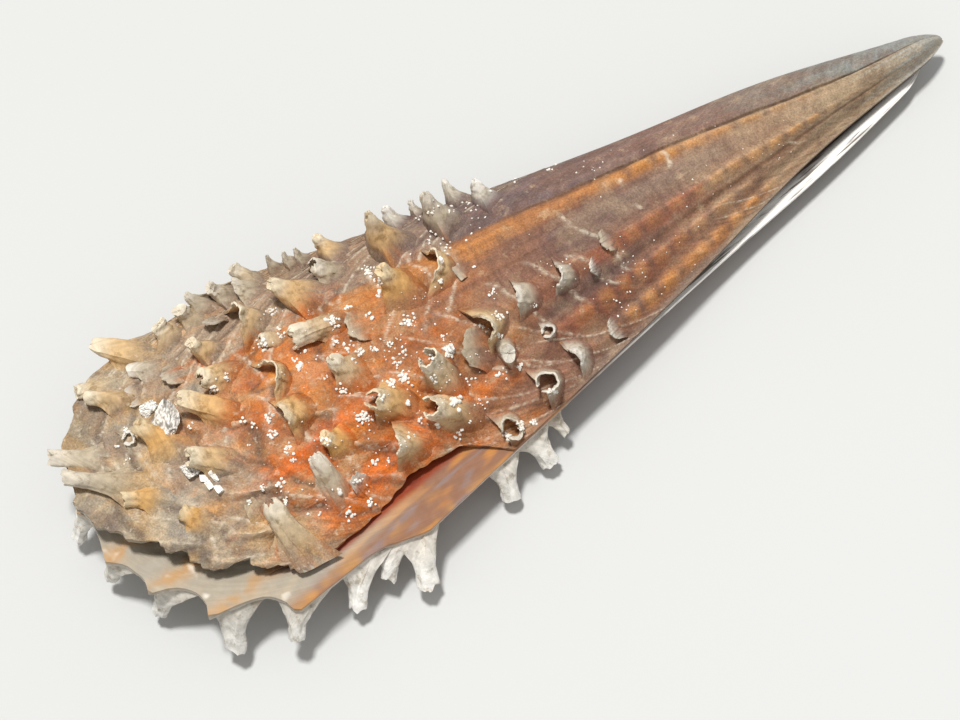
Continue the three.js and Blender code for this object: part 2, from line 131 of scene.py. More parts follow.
# Spines: place across, reach, length, width, angle above the surface, swing towards the hinge, half angle
# of the rolled wall (below 100 a flat scale, below 145 a hood or a pointed horn, then a tube, wide open
# from 158), width of the point, warmth
UPPER_SPINES = (
    (0.78, 129, 6, 6, 88, 0, 105, 0.3, 0.05), (0.97, 134, 6, 5, 85, 0, 105, 0.35, 0.1),
    (0.72, 142, 11, 8, 82, 0, 110, 0.34, 0.16), (0.98, 144, 4, 3.5, 88, 0, 110, 0.5, 0.1),
    (0.97, 150, 5, 5.5, 80, 0, 110, 0.45, 0.05), (0.72, 157, 14, 9, 82, 0, 105, 0.32, 0.45),
    (0.9, 168, 6, 7, 72, 0, 115, 0.45, 0.4), (0.73, 166, 5, 5, 18, 0, 90, 0.9, 0.1),
    (0.7, 172, 6, 6, 70, 0, 150, 0.7, 0.2), (0.95, 175, 4, 3.5, 85, 0, 110, 0.3, 0.15),
    (0.97, 178, 4, 3, 82, 0, 110, 0.3, 0.15), (0.98, 182, 5, 3, 82, 20, 110, 0.3, 0.15),
    (0.94, 189, 5, 6, 50, 45, 120, 0.6, 0.25), (0.84, 190, 5, 6, 50, 0, 115, 0.85, 0.2),
    (0.9, 196, 5, 6, 60, 0, 120, 0.6, 0.2), (0.88, 202, 6, 5, 70, 10, 120, 0.45, 0.2),
    (0.83, 206, 5, 6, 70, 20, 120, 0.65, 0.25), (0.78, 212, 4, 7, 50, 50, 125, 0.65, 0.3),
    (0.76, 221, 11, 6.5, 12, 34, 150, 0.55, 0.42), (0.64, 220, 5, 6, 15, 20, 125, 0.6, 0.15),
    (0.66, 232, 6, 6, 10, 10, 130, 0.6, 0.3), (0.75, 199, 6, 5, 12, -35, 90, 0.8, 0.1),
    (0.63, 181, 9, 9, 56, 0, 105, 0.42, 0.45), (0.62, 195, 6, 8, 65, 0, 105, 0.8, 0.35),
    (0.57, 207, 6, 6, 70, 0, 115, 0.55, 0.4), (0.53, 213, 6, 6, 10, 0, 90, 0.8, 0.15),
    (0.53, 224, 5, 6, 10, 0, 90, 0.9, 0.05), (0.55, 230, 8, 5.5, 14, 30, 130, 0.6, 0.35),
    (0.28, 143, 4, 9, 12, 0, 90, 1.0, 0.15), (0.29, 149, 5, 9, 50, 25, 105, 0.95, 0.4),
    (0.31, 160, 10, 8, 66, 50, 105, 0.5, 0.65), (0.2, 171, 5, 9, 12, 5, 90, 0.9, 0.2),
    (0.32, 177, 11, 5.5, 12, 5, 168, 0.95, 0.3), (0.41, 191, 4, 4.5, 20, 10, 155, 0.85, 0.3),
    (0.39, 206, 6, 6, 25, 0, 150, 0.8, 0.4), (0.2, 196, 4, 9, 60, 0, 115, 0.95, 0.4),
    (0.18, 210, 12, 6, 14, 45, 155, 0.75, 0.55), (0.2, 225, 9, 7, 25, 60, 130, 0.6, 0.7),
    (0.33, 232, 1.2, 4.2, 75, 0, 168, 0.9, 0.12), (0.3, 239, 14, 6, 6, 36, 115, 0.65, 0.2),
    (0.11, 237, 16, 6.5, 6, 38, 115, 0.65, 0.22), (-0.03, 181, 7, 7, 48, 60, 125, 0.5, 0.3),
    (-0.04, 197, 6, 8, 45, 0, 110, 0.75, 0.55), (-0.03, 217, 8, 6, 20, 34, 160, 0.8, 0.4),
    (0.0, 234, 8, 5.5, 10, 30, 140, 0.65, 0.65), (-0.22, 229, 5, 6, 18, 70, 115, 0.6, 0.75),
    (-0.23, 108, 4, 6, 10, 0, 90, 0.8, 0.15), (-0.35, 115, 4, 5, 35, 10, 90, 0.7, 0.0),
    (-0.28, 124, 4.5, 6, 35, 30, 125, 0.85, 0.14), (-0.25, 135, 5, 6.5, 25, 20, 105, 0.8, 0.14),
    (-0.27, 147, 6, 8, 50, 0, 115, 0.9, 0.35), (-0.39, 150, 7, 10, 15, 30, 90, 0.9, 0.2),
    (-0.47, 147, 4, 6, 80, 0, 130, 0.69, 0.15), (-0.39, 163, 11, 7, 42, 70, 160, 0.75, 0.3),
    (-0.59, 164, 10, 7, 25, 42, 160, 0.8, 0.35), (-0.33, 176, 8, 7, 30, 44, 160, 0.7, 0.55),
    (-0.32, 192, 5, 6, 35, 50, 130, 0.6, 0.75), (-0.55, 179, 8, 7, 45, 30, 110, 0.75, 0.35),
    (-0.61, 193, 6, 5, 15, 75, 90, 0.9, 0.05), (-0.53, 199, 11, 6, 18, 90, 150, 0.75, 0.2),
    (-0.62, 214, 13, 7, 16, 92, 150, 0.75, 0.28), (-0.4, 217, 6, 5, 15, 90, 90, 0.8, 0.25),
    (-0.54, 134, 2, 4, 45, 0, 168, 0.95, 0.1), (-0.84, 118, 4, 6, 12, 0, 90, 0.9, 0.05),
    (-0.81, 131, 4, 7, 35, 0, 115, 0.75, 0.1), (-0.82, 142, 5, 6.5, 70, 0, 165, 0.9, 0.16),
    (-0.86, 156, 4, 6, 75, 0, 172, 0.9, 0.2),
)
# Spines of the lower margin, and those of its underside, which share the last three values
MARGIN_SPINES = (
    (0.2, 249, 10, 6, 72, -25, 120, 0.65, 0.0), (-0.08, 249, 9, 6, 80, 0, 110, 0.55, 0.03),
    (-0.33, 243, 10, 7, 75, 5, 110, 0.6, 0.02), (-0.59, 234, 11.5, 7, 54, -57, 110, 0.68, 0.02),
    (-0.82, 223, 8, 7, 55, -42, 110, 0.66, 0.02), (-0.865, 206, 11, 6, 55, -46, 112, 0.65, 0.0),
    (-0.9, 197, 9, 6, 55, -38, 115, 0.69, 0.0), (-0.97, 190, 13, 8, 40, -58, 112, 0.66, 0.02),
    (-0.97, 162, 11, 7, 50, -66, 118, 0.69, 0.02), (-0.97, 152, 10, 7, 50, -95, 118, 0.68, 0.02),
    (-0.96, 145, 7, 4.5, 52, -105, 120, 0.6, 0.1),
)
UNDER_FORM = (120, 0.6, 0.2)
UNDER_SPINES = (
    (0.85, 146, 7, 5, 60, 0), (0.85, 165, 7, 6, 60, 0), (0.85, 184, 8, 6, 55, 0), (0.8, 204, 8, 6, 50, 10),
    (0.6, 160, 5, 6, 60, 0), (0.6, 179, 7, 6, 60, 0), (0.6, 198, 9, 7, 55, 0), (0.58, 218, 8, 7, 45, 0),
    (0.33, 176, 6, 6, 65, 0), (0.33, 195, 11, 8, 75, 0), (0.33, 220, 9, 7, 50, 0),
    (0.06, 179, 7, 6, 65, 0), (0.06, 200, 10, 8, 75, 0), (0.06, 224, 8, 7, 45, 0),
    (-0.33, 170, 6, 6, 65, 0), (-0.33, 192, 12, 8, 75, 0), (-0.33, 216, 9, 7, 50, 0),
    (-0.58, 151, 6, 6, 60, 0), (-0.58, 171, 7, 6, 60, 0), (-0.58, 190, 8, 7, 55, 0),
    (-0.58, 208, 8, 7, 45, -10),
)
LOWER_SPINES = MARGIN_SPINES + tuple(row + UNDER_FORM for row in UNDER_SPINES)
SPINE_WALL = 0.6
SPINE_SKIRT = 1.35
SPINE_SINK = 0.5
SPINE_SLOPE = 1.1
SPINE_CLEAR = 0.35
HORN_ROLL = 180
SCALE_TO_ROLL, TUBE_FROM_ROLL, OPEN_FROM_ROLL = 100, 145, 158
HORN_TO_POINT = 0.7
SPINE_ROWS, SPINE_COLUMNS = 18, 28
AROUND = np.linspace(-1, 1, SPINE_COLUMNS + 1)
SKIRT_ROLL = 100
SLIDES, SLIDE_FROM, SLIDE_SHARE = 20, 6.0, 0.15
ROOT_LIMIT, ROOT_MARGIN = 0.985, 0.6

# Knee of a spine by its kind: share of the length, and half width for its width
SCALE_KNEE, HORN_KNEE, HOOD_KNEE = (0.45, 0.52), (0.42, 0.29), (0.4, 0.42)

# How uneven a spine's section and end are, how far a hood is cut back behind, and how an end is blunted
UNEVEN_TUBE, UNEVEN, RAGGED_TUBE, RAGGED = 0.24, 0.16, 0.04, 0.025
HOOD_CUT = 0.55
BLUNT_FROM, BLUNT_SPAN, BLUNT_SHARE, BLUNT_WIDTH = 0.8, 0.24, 0.7, (0.62, 0.5)

# Values that the material reads on spines: paleness of scales, least paleness at the margin, growth, and
# relief, which sets their painted light and shade
SCALE_PALENESS, MARGIN_PALENESS, SPINE_GROWTH, SPINE_RELIEF = 0.45, 0.5, 14, 0.6

# Foot of a spine: how far the wall swells ahead of it and behind; half width and height for its width
FOOT_AHEAD, FOOT_BEHIND, FOOT_HALF, FOOT_HEIGHT = 6, 1.5, 0.45, 0.09
GLOW = 1.4

# Lobes of the lower margin: place across, how far each is drawn out, half widths towards hinge and gape
LOBES = (
    (0.2, 2.5, 0.04, 0.04), (-0.077, 3.1, 0.1, 0.04), (-0.321, 4.7, 0.066, 0.029),
    (-0.59, 10.0, 0.09, 0.046), (-0.85, 19.0, 0.14, 0.013), (-0.885, -2.0, 0.012, 0.03),
    (-1.0, 5.0, 0.05, 0.05),
)
LOBE_POINT = 1.3
SCALLOP, SCALLOP_FROM, SCALLOP_TO = 1.6, 0.45, 0.25

# Chips in a margin: size, how many to a half width; and how much more the upper margin is chipped
CHIPS = ((0.45, 22), (0.25, 60), (0.15, 120))
UPPER_CHIPS, LOWER_CHIPS = 2.4, 0.5

# Worn frills apart from those of the spines: number, and the range of place across, reach and half width
SCARS = 14
SCAR_RANGES = ((-0.9, 0.85), (45, 235), (0.8, 2.4))
FRILL_HALF, FRILL_HEIGHT = 0.45, 0.35

# Mesh of a valve, and the angles from which an edge is drawn sharp
ROWS, COLUMNS = 400, 160
VALVE_SHARP, SPINE_SHARP = 60, 50

# Hinge strip
STRIP_HALF, STRIP_DEEP, STRIP_INSET = 0.5, 3.0, 0.4
STRIP_FROM, STRIP_TO, STRIP_STEPS = 14.0, 165.0, 120
STRIP_WAVES = ((0.25, 2.5), (0.15, 0.9))

# Clinging sand, by where it is seen in the picture: pixels right and down, spread, number and size
SAND = (
    (513, 179, 4, 6, 3), (545, 168, 6, 8, 3), (556, 163, 4, 6, 3), (490, 188, 6, 5, 2.5),
    (478, 215, 14, 8, 2), (470, 207, 6, 6, 2.5), (450, 208, 8, 6, 2.5), (432, 212, 8, 8, 2.5),
    (431, 236, 5, 8, 2.5), (420, 218, 4, 4, 2.5), (446, 247, 9, 9, 2.5), (440, 259, 3, 3, 4.5),
    (441, 280, 3, 3, 4.5), (466, 240, 2, 2, 2.5), (474, 267, 1, 1, 3), (368, 270, 7, 16, 3),
    (378, 281, 4, 8, 3), (380, 295, 3, 4, 4), (372, 317, 4, 5, 4), (348, 306, 6, 7, 2.5),
    (332, 320, 7, 22, 3.2), (410, 321, 7, 16, 3.2), (495, 294, 5, 9, 2.5), (534, 305, 4, 5, 2.2),
    (499, 316, 6, 16, 2.6), (497, 335, 4, 8, 3), (272, 312, 5, 12, 3), (283, 332, 7, 12, 2.8),
    (263, 345, 6, 14, 3), (299, 366, 4, 6, 4), (293, 360, 3, 4, 2.5), (303, 352, 4, 5, 2.5),
    (336, 342, 4, 8, 2.8), (347, 348, 5, 10, 3), (361, 352, 5, 10, 3), (373, 349, 5, 8, 2.8),
    (352, 342, 1, 1, 4), (354, 360, 4, 5, 2.5), (342, 390, 5, 12, 3), (325, 377, 3, 4, 2.5),
    (391, 383, 5, 10, 3.4), (398, 362, 5, 10, 3), (403, 351, 5, 8, 3), (388, 346, 5, 6, 2.6),
    (405, 378, 7, 22, 3.6), (365, 417, 7, 24, 3.2), (408, 402, 2, 2, 4.4), (433, 380, 5, 8, 3),
    (455, 402, 9, 14, 4.6), (438, 425, 2, 2, 4.4), (420, 422, 4, 5, 3), (456, 434, 6, 7, 3.2),
    (470, 421, 2, 2, 3), (448, 353, 5, 12, 3.4), (502, 375, 6, 9, 2.6), (470, 380, 5, 5, 2.8),
    (519, 367, 4, 7, 3), (534, 422, 4, 8, 2.6), (520, 426, 5, 14, 3), (407, 438, 4, 5, 3),
    (375, 463, 4, 6, 3), (388, 461, 3, 4, 2.8), (444, 339, 5, 6, 2.4), (482, 404, 12, 8, 2),
    (325, 440, 5, 10, 3), (340, 492, 3, 3, 4.4), (350, 515, 5, 10, 3), (320, 513, 3, 3, 3.4),
    (307, 515, 2, 2, 3), (357, 480, 5, 7, 2.8), (371, 503, 4, 9, 3), (213, 388, 6, 14, 2.8),
    (226, 377, 4, 7, 2.8), (243, 420, 4, 5, 2.6), (253, 425, 4, 5, 2.6), (269, 418, 5, 12, 3.2),
    (273, 434, 5, 12, 3.2), (287, 449, 5, 14, 3.2), (293, 461, 3, 5, 2.8), (250, 445, 2, 2, 3),
    (190, 427, 4, 6, 2.6), (125, 430, 4, 8, 2.6), (118, 446, 3, 4, 2.6), (127, 461, 4, 4, 2.2),
    (280, 485, 5, 12, 3), (285, 501, 3, 8, 2.8), (263, 487, 4, 6, 2.4), (249, 504, 4, 6, 2.6),
    (430, 300, 45, 22, 1.6), (380, 430, 50, 40, 1.6), (507, 436, 4, 14, 3), (552, 391, 5, 14, 3),
    (482, 326, 4, 6, 2.6), (381, 397, 4, 6, 3), (430, 357, 4, 6, 3), (460, 380, 45, 40, 1.6),
    (300, 350, 50, 26, 1.6), (320, 470, 45, 26, 1.6), (400, 340, 35, 30, 1.8), (690, 190, 70, 20, 1.4),
    (640, 262, 36, 22, 1.5), (770, 150, 44, 10, 1.3), (622, 298, 22, 12, 1.8), (590, 168, 16, 9, 1.8),
    (560, 260, 40, 14, 1.5),
)

# Bits of crust, by where they are seen in the picture: pixels right and down, half sizes, paleness
CRUST = (
    (167, 421, (3.6, 4.3, 1.9), 0.4), (148, 411, (2.4, 1.6, 1.0), 0.4), (203, 479, (0.9, 1.2, 0.6), 0.75),
    (209, 485, (0.7, 1.3, 0.5), 0.85), (215, 478, (0.6, 1.0, 0.6), 0.8), (219, 489, (0.8, 1.2, 0.5), 0.8),
    (211, 473, (0.5, 0.7, 0.5), 0.7), (191, 471, (1.7, 2.0, 0.9), 0.25), (449, 350, (1.4, 1.2, 0.8), 0.45),
)
CRUST_ALONG = (1.0, 0.0, 0.0)
CRUST_FACES, CRUST_DEPTHS = 8, (0.7, 1.0)
CRUST_STANDS, CRUST_CRUMBS, CRUST_FLAKES = 0.4, 0.1, 1.1

# Sand grains: range of size, paleness and flattening, how lumpy they are, and how far they stand out
GRAIN_SPREAD, GRAIN_PALE, GRAIN_FLAT = (0.65, 1.3), (0.6, 1), (0.65, 1.1)
GRAIN_LUMPS, GRAIN_STANDS = 0.35, 0.3

# Half the floor's side, and the size of one pixel at the shell
FLOOR_HALF = 3000.0
PIXEL = 0.244

# Camera and light, with these places in metres
CAMERA_AT = (-0.18026, -0.23983, 0.65231)
CAMERA_TO = (-0.02376, -0.00971, 0.0100)
CLIP_START = 0.01
LENS, SENSOR = 107.67, 36.0
PICTURE = (960, 720)
KEY_FROM, KEY_POWER, KEY_ANGLE = (-0.04, 0.25, 0.97), 3.2, math.radians(9)
FILL_COLOUR, FILL_POWER = (1, 1, 1, 1), 0.5


def smooth(start, end, value):
    """From 0 to 1 as the value goes from start to end, which may run either way."""
    share = np.clip((value - start) / (end - start), 0, 1)
    return share * share * (3 - 2 * share)


def bell(value, middle, width):
    """1 in the middle, falling away on both sides."""
    return np.exp(-(((value - middle) / width) ** 2))


def lattice(ix, iy, seed):
    """Fixed random value between -1 and 1 at each lattice point."""
    n = ix * 374761393 + iy * 668265263 + seed * 144269504
    n = (n ^ (n >> 13)) & 0xFFFFFFFF
    n = (n * 1274126177) & 0xFFFFFFFF
    return ((n ^ (n >> 16)) & 0xFFFF) / 32767.5 - 1


def noise(x, y, seed):
    """Smooth noise between -1 and 1, with features about one unit across."""
    x, y = np.broadcast_arrays(np.asarray(x, float), np.asarray(y, float))
    ix, iy = np.floor(x).astype(np.int64), np.floor(y).astype(np.int64)
    fx, fy = x - ix, y - iy
    fx, fy = fx ** 3 * (fx * (6 * fx - 15) + 10), fy ** 3 * (fy * (6 * fy - 15) + 10)
    low = lattice(ix, iy, seed) * (1 - fx) + lattice(ix + 1, iy, seed) * fx
    high = lattice(ix, iy + 1, seed) * (1 - fx) + lattice(ix + 1, iy + 1, seed) * fx
    return low * (1 - fy) + high * fy


def rough(x, y, seed, octaves=3):
    """Noise with finer noise added."""
    total = sum(noise(x * 2 ** k, y * 2 ** k, seed + k) / 2 ** k for k in range(octaves))
    return total / (2 - 0.5 ** (octaves - 1))


def margin_table():
    """Distance from the wedge's corner to the margin, for places across."""
    across = np.linspace(-1.1, 1.1, 2201)
    angle = across * SPREAD
    power = np.where(across > 0, HINGE_SQUARENESS, GAPE_SQUARENESS)
    inside, outside = np.full(across.shape, CAP_START / 2), np.full(across.shape, 2 * (LENGTH + APEX))
    for _ in range(40):
        radius = (inside + outside) / 2
        along = np.maximum(radius * np.cos(angle) - CAP_START, 0) / CAP
        sideways = np.abs(radius * np.sin(angle)) / HALF_WIDTH
        beyond = along ** power + sideways ** power > 1
        outside, inside = np.where(beyond, radius, outside), np.where(beyond, inside, radius)
    return across, inside


MARGIN = margin_table()


def margin_radius(across):
    return np.interp(across, *MARGIN)


def lobe_form(aside, towards_hinge, towards_gape):
    """A pointed lobe with hollow sides, 1 at its point."""
    return np.exp(-(np.abs(aside) / np.where(aside > 0, towards_hinge, towards_gape)) ** LOBE_POINT)


def edge_radius(valve, across):
    """Margin of one valve, with its tears, lobes and chips."""
    chips = sum(
        size * noise(across * often, 0.5, valve["seed"] + kind) for kind, (size, often) in enumerate(CHIPS)
    )
    edge = margin_radius(across) + CORNER * bell(across, CORNER_AT, CORNER_SPAN)
    if valve is UPPER:
        tears = sum(drawn * bell(across, place, width) for place, drawn, width in TEARS)
        return edge - TRIM * smooth(TRIM_FROM, TRIM_TO, across) + tears + UPPER_CHIPS * chips
    lobes = sum(drawn * lobe_form(across - place, *widths) for place, drawn, *widths in LOBES)
    return edge + (lobes - SCALLOP) * smooth(SCALLOP_FROM, SCALLOP_TO, across) + LOWER_CHIPS * chips


def plan(valve, across, radius):
    """Place in the plan view, with the bulge of the hinge edge and the flare of the gaping edge."""
    angle = across * SPREAD
    bulge = BULGE * bell(radius, BULGE_AT, BULGE_SPAN) * smooth(*BULGE_ACROSS, across)
    flare = valve["flare"][0] * bell(radius, *valve["flare"][1:]) * smooth(*FLARE_ACROSS, across)
    return APEX - radius * np.cos(angle), radius * np.sin(angle) + bulge - flare


def rise(share):
    """Height of the crown along the valve, 1 where it is fullest."""
    swell = np.sin(np.minimum(share / FULL_AT, 1) * math.pi / 2) ** RISE_POWER
    fall = FALL * smooth(FALL_FROM, 1, share) ** FALL_POWER
    return (TIP_SHARE + (1 - TIP_SHARE) * swell) * (1 - fall)


def arch(across):
    """Height of the section across the valve, 1 in the middle."""
    flat, shoulder = HINGE_ARCH
    hinge = np.maximum(1 - np.abs(across) ** flat, 0) ** shoulder
    gape = 0.5 + 0.5 * np.cos(math.pi * np.minimum(np.abs(across), 1) ** GAPE_ARCH)
    return np.where(across >= 0, hinge, gape)


def gap_lift(valve, across, radius):
    """Half the gap between the valves; the upper one stands off more behind the tip on the gaping side."""
    lift = GAPE_LIFT + (HINGE_LIFT - GAPE_LIFT) * smooth(-1, 1, across)
    if valve is UPPER:
        lift = lift + GAP_LIFT * bell(radius - APEX, GAP_AT, GAP_SPAN) * smooth(-0.5, -1, across)
    return lift


def edge_height(valve, across, radius):
    """Height of the edge face; the lower valve shows a deeper one behind the tip."""
    deep = RIM_DEPTH * bell(radius - APEX, RIM_AT, RIM_SPAN) * smooth(-0.75, -1, across)
    return EDGE + (deep if valve is LOWER else 0)


def lane(across, reach):
    """Place across, counted so that the furrow below the hinge strip keeps one number along the valve."""
    furrow = FURROW - FURROW_DRIFT * smooth(FURROW_TO, FURROW_FROM, reach)
    above = FURROW + (across - furrow) * (1 - FURROW) / (1 - furrow)
    below = -FURROW + (across + FURROW) * 2 * FURROW / (furrow + FURROW)
    return np.where(across > furrow, above, np.where(across > -FURROW, below, across))


def rib_height(across, radius):
    """Ribs that run from the tip to the hind end, swelling and shrinking on the way, and two furrows."""
    reach = radius - APEX
    line = lane(across, reach)
    total = 0
    for place, height, width in RIBS:
        swell = 1 + RIB_SWELL * noise(reach / 9, place * 40, 3)
        wander = RIB_WANDER * noise(reach / 16, place * 31, 4)
        total = total + height * swell * bell(line + wander, place, width)
    share = radius / margin_radius(across)
    total = total * smooth(*RIBS_END, share) * smooth(*RIBS_BEGIN, reach)
    furrows = HINGE_FURROW * bell(line, FURROW, HINGE_FURROW_HALF) * smooth(*HINGE_FURROW_END, reach)
    furrows = furrows + GAPE_FURROW * bell(line, -FURROW, GAPE_FURROW_HALF)
    return total - furrows * smooth(*FURROWS_BEGIN, reach) * smooth(*FURROWS_END, reach)


def plate_places(across, radius):
    """Distance behind the edge of each growth plate, as a share of the length, and its thickness."""
    share = radius / margin_radius(across)
    for index, (place, thick) in enumerate(PLATES):
        wander = 0
        for size, often, row, seed in PLATE_WAVES:
            wander = wander + size * noise(across * often, index * row, seed)
        yield share + wander - place, thick


def plate_height(across, radius):
    """Growth plates that overlap like shingles: each rises slowly and ends in a step."""
    total = 0
    for behind, thick in plate_places(across, radius):
        slope = np.clip(1 + behind / PLATE_LENGTH, 0, 1)
        total = np.maximum(total, thick * slope * (1 - smooth(-PLATE_STEP, PLATE_STEP, behind)))
    return total


def creases(across, radius):
    """Nearness to where one growth plate comes out from under the next, for a line of painted shade there.
    """
    return sum(bell(behind, CREASE_AT, CREASE_HALF) for behind, _ in plate_places(across, radius))


def broad_relief(across, radius):
    """Ribs and overlapping growth plates, which the inside of the wall follows."""
    plates = plate_height(across, radius) * smooth(0.1, 0.5, arch(across))
    return smooth(1, 0.9, np.abs(across)) * (rib_height(across, radius) + plates)


def growth_place(across, radius):
    """Growth lines follow former margins, so they are counted along the share of the length."""
    share = radius / margin_radius(across)
    return LENGTH * share + GROWTH_WAVE * noise(across * 4, share * 9, 21)


def fine_relief(valve, across, radius):
    """Growth lamellae, hummocks and pits on the outside."""
    share = radius / margin_radius(across)
    reach = radius - APEX
    growth = growth_place(across, radius)
    part = np.mod(growth / LAMELLA, 1)
    step = LAMELLA_STEP + LAMELLA_HIND * smooth(0.55, 0.9, share)
    lamellae = (part - 0.5) * (1 - smooth(0.86, 1, part)) * step
    fine = FINE_LINES * noise(across * 4, growth / 0.9, 22)
    fine = fine + FINE_RIBS * noise(across * 26, reach / 14, 23) * smooth(40, 130, reach)
    worn = smooth(0.55, 0.85, share) * (0.6 + 0.6 * smooth(0.2, 0.8, across))
    hummocks = rough(across * 7, reach / 9, valve["seed"] + 2, 4) * (HUMMOCKS + WORN_HUMMOCKS * worn)
    pits = PITS * noise(across * 30, reach / 2.2, valve["seed"] + 6) * smooth(0.35, 0.8, share)
    return smooth(1, 0.94, np.abs(across)) * (lamellae + fine + hummocks + pits)


def knobs(across, radius):
    """Low knobs in rows along the ribs of the front half, each 1 at its top, and the dents between them."""
    reach = radius - APEX
    line = lane(across, reach)
    tops, dents = 0, 0
    for place, start, end, step in KNOBS:
        part = np.mod((reach - start) / step + 0.35 * noise(reach / 17, place * 23, 27), 1)
        size = 0.65 + 0.35 * noise(reach / 12, place * 11, 28)
        size = size * smooth(start - 8, start + 12, reach) * smooth(end + 10, end - 10, reach)
        size = size * bell(line + 0.015 * noise(reach / 7, place * 17, 29), place, KNOB_HALF)
        gap = np.minimum(part, 1 - part)
        tops = tops + size * smooth(0.05, 0.36, gap)
        dents = dents + size * bell(gap, 0, 0.12)
    return tops, dents


def spine_rows(valve):
    return UPPER_SPINES if valve is UPPER else LOWER_SPINES


def spine_feet(valve, across, radius):
    """Nearness to the foot of each spine, on its tip side, with the spine's width and warmth."""
    for place, reach, _, width, *_, warmth in spine_rows(valve):
        sideways = (across - place) * radius * SPREAD
        behind = radius - APEX - reach
        along = np.where(behind < 0, np.exp(behind / FOOT_AHEAD), bell(behind, 0, FOOT_BEHIND))
        yield bell(sideways, 0, FOOT_HALF * width) * along, width, warmth


def mounds(valve, across, radius):
    """The wall swells on the tip side of each spine, where the hood grows out of it."""
    return sum(FOOT_HEIGHT * width * near for near, width, _ in spine_feet(valve, across, radius))


def root_glow(valve, across, radius):
    """Orange tint of the wall round the feet of the warmer spines."""
    return np.minimum(sum(GLOW * warmth * near for near, _, warmth in spine_feet(valve, across, radius)), 1)


def frills_and_highlights(valve, across, radius):
    """Thin pale frills along the growth lines: the skirts of spines, and what is left of worn scales; and
    pale lines on the plates' lips, partly their own paleness and partly a painted highlight.
    """
    rng = np.random.default_rng(valve["seed"])
    rows = [(row[0], row[1] + 0.25 * row[3], row[3]) for row in spine_rows(valve)]
    for _ in range(SCARS):
        rows.append([rng.uniform(*limits) for limits in SCAR_RANGES])
    growth = growth_place(across, radius)
    total = np.zeros(np.shape(across))
    for place, reach, width in rows:
        sideways = (across - place) * (reach + APEX) * SPREAD
        start = growth_place(np.array(place), np.array(reach + APEX))
        arc = growth - start - 0.5 * sideways ** 2 / (width + 4)
        frill = bell(arc, 0, FRILL_HALF) * smooth(1.5 * width, 0.9 * width, np.abs(sideways))
        total = np.maximum(total, frill)
    # Pale line on each plate's lip: partly the lip's own paleness, partly a painted highlight on the step's
    # edge
    for index, (behind, _) in enumerate(plate_places(across, radius)):
        broken = smooth(-0.2, 0.3, noise(across * 9, index * 2.3, valve["seed"] + 9))
        total = np.maximum(total, 0.7 * bell(behind, -0.003, 0.003) * broken)
    return total


def break_share(share):
    """1 along the broken edge, 0 ahead of it and at the hind margin."""
    return smooth(*BREAK_BEGINS, share) * smooth(*BREAK_ENDS, share)


def surface(valve, across, radius, relief):
    """Points of the outer face; the front end closes to a blunt point."""
    x, y = plan(valve, across, radius)
    share = radius / margin_radius(across)
    height = edge_height(valve, across, radius) + valve["crown"] * rise(share) * arch(across) + relief
    if valve is UPPER:
        height = height - SAG * bell(across, SAG_AT, SAG_SPAN) * break_share(share)
    ahead = np.clip((radius - APEX - valve["worn"] + TIP_ROUND) / TIP_LENGTH, 0, 1)
    nose = np.sqrt(np.maximum(1 - (1 - ahead) ** 2, 0.01))
    return np.stack([x, y * nose, valve["side"] * (gap_lift(valve, across, radius) + height * nose)], -1)


def at_rest(points):
    """From the shell's own frame to the floor, in millimetres."""
    c, s = math.cos(TILT), math.sin(TILT)
    x, y, z = points[..., 0], points[..., 1], points[..., 2]
    return np.stack([x * c + z * s, y, -x * s + z * c], -1) + TIP_AT


def unit(vectors):
    return vectors / np.maximum(np.linalg.norm(vectors, axis=-1, keepdims=True), 1e-9)


def directions(valve, across, radius):
    """Towards the hind end, out of the wall, and towards the hinge."""
    def point(a, r):
        return surface(valve, a, r, broad_relief(a, r))
    step = 0.02
    low, high = point(np.maximum(across - step, -1), radius), point(np.minimum(across + step, 1), radius)
    back = unit(point(across, radius + 1) - point(across, radius - 1))
    out = unit(np.cross(high - low, back)) * valve["side"]
    return back, out, np.cross(back, out) * valve["side"]


def border(rows, columns):
    """Places round the edge of a grid of points, in order."""
    grid = np.arange(rows * columns).reshape(rows, columns)
    return np.concatenate([grid[0, :-1], grid[:-1, -1], grid[-1, :0:-1], grid[:0:-1, 0]])


def grid_faces(rows, columns, base):
    grid = np.arange(rows * columns).reshape(rows, columns) + base
    return np.stack([grid[:-1, :-1], grid[:-1, 1:], grid[1:, 1:], grid[1:, :-1]], -1).reshape(-1, 4)


def sheet(outer, inner):
    """Closed wall between two grids of points; the inner grid may have fewer points by a whole number."""
    (rows, columns), (inner_rows, inner_columns) = outer.shape[:2], inner.shape[:2]
    base = rows * columns
    ratio = (rows - 1) // (inner_rows - 1)
    faces = grid_faces(rows, columns, 0).tolist()
    faces += grid_faces(inner_rows, inner_columns, base)[:, ::-1].tolist()
    outside, inside = border(rows, columns).tolist(), (border(inner_rows, inner_columns) + base).tolist()
    for k, corner in enumerate(inside):
        following = inside[(k + 1) % len(inside)]
        run = [outside[(k * ratio + j) % len(outside)] for j in range(ratio + 1)]
        half = (ratio + 1) // 2
        faces += [[run[j + 1], run[j], corner] for j in range(half)]
        faces.append([run[half], corner, following])
        faces += [[run[j + 1], run[j], following] for j in range(half, ratio)]
    points = np.concatenate([outer.reshape(-1, 3), inner.reshape(-1, 3)])
    return points, faces


def outward(points, faces):
    """Faces turned so that they point out of the solid."""
    corners = np.array([face[:3] for face in faces] + [[f[0], f[2], f[3]] for f in faces if len(f) == 4])
    a, b, c = (points[corners[:, k]] for k in range(3))
    volume = np.einsum("ij,ij->i", a, np.cross(b, c)).sum()
    return [face[::-1] for face in faces] if volume < 0 else faces


def on_floor(points, inside=0.0):
    """Points at rest, none below the floor; those of an inner face keep the wall's thickness above it."""
    placed = at_rest(points)
    placed[:, 2] = np.maximum(placed[:, 2], SPINE_WALL * inside)
    return placed


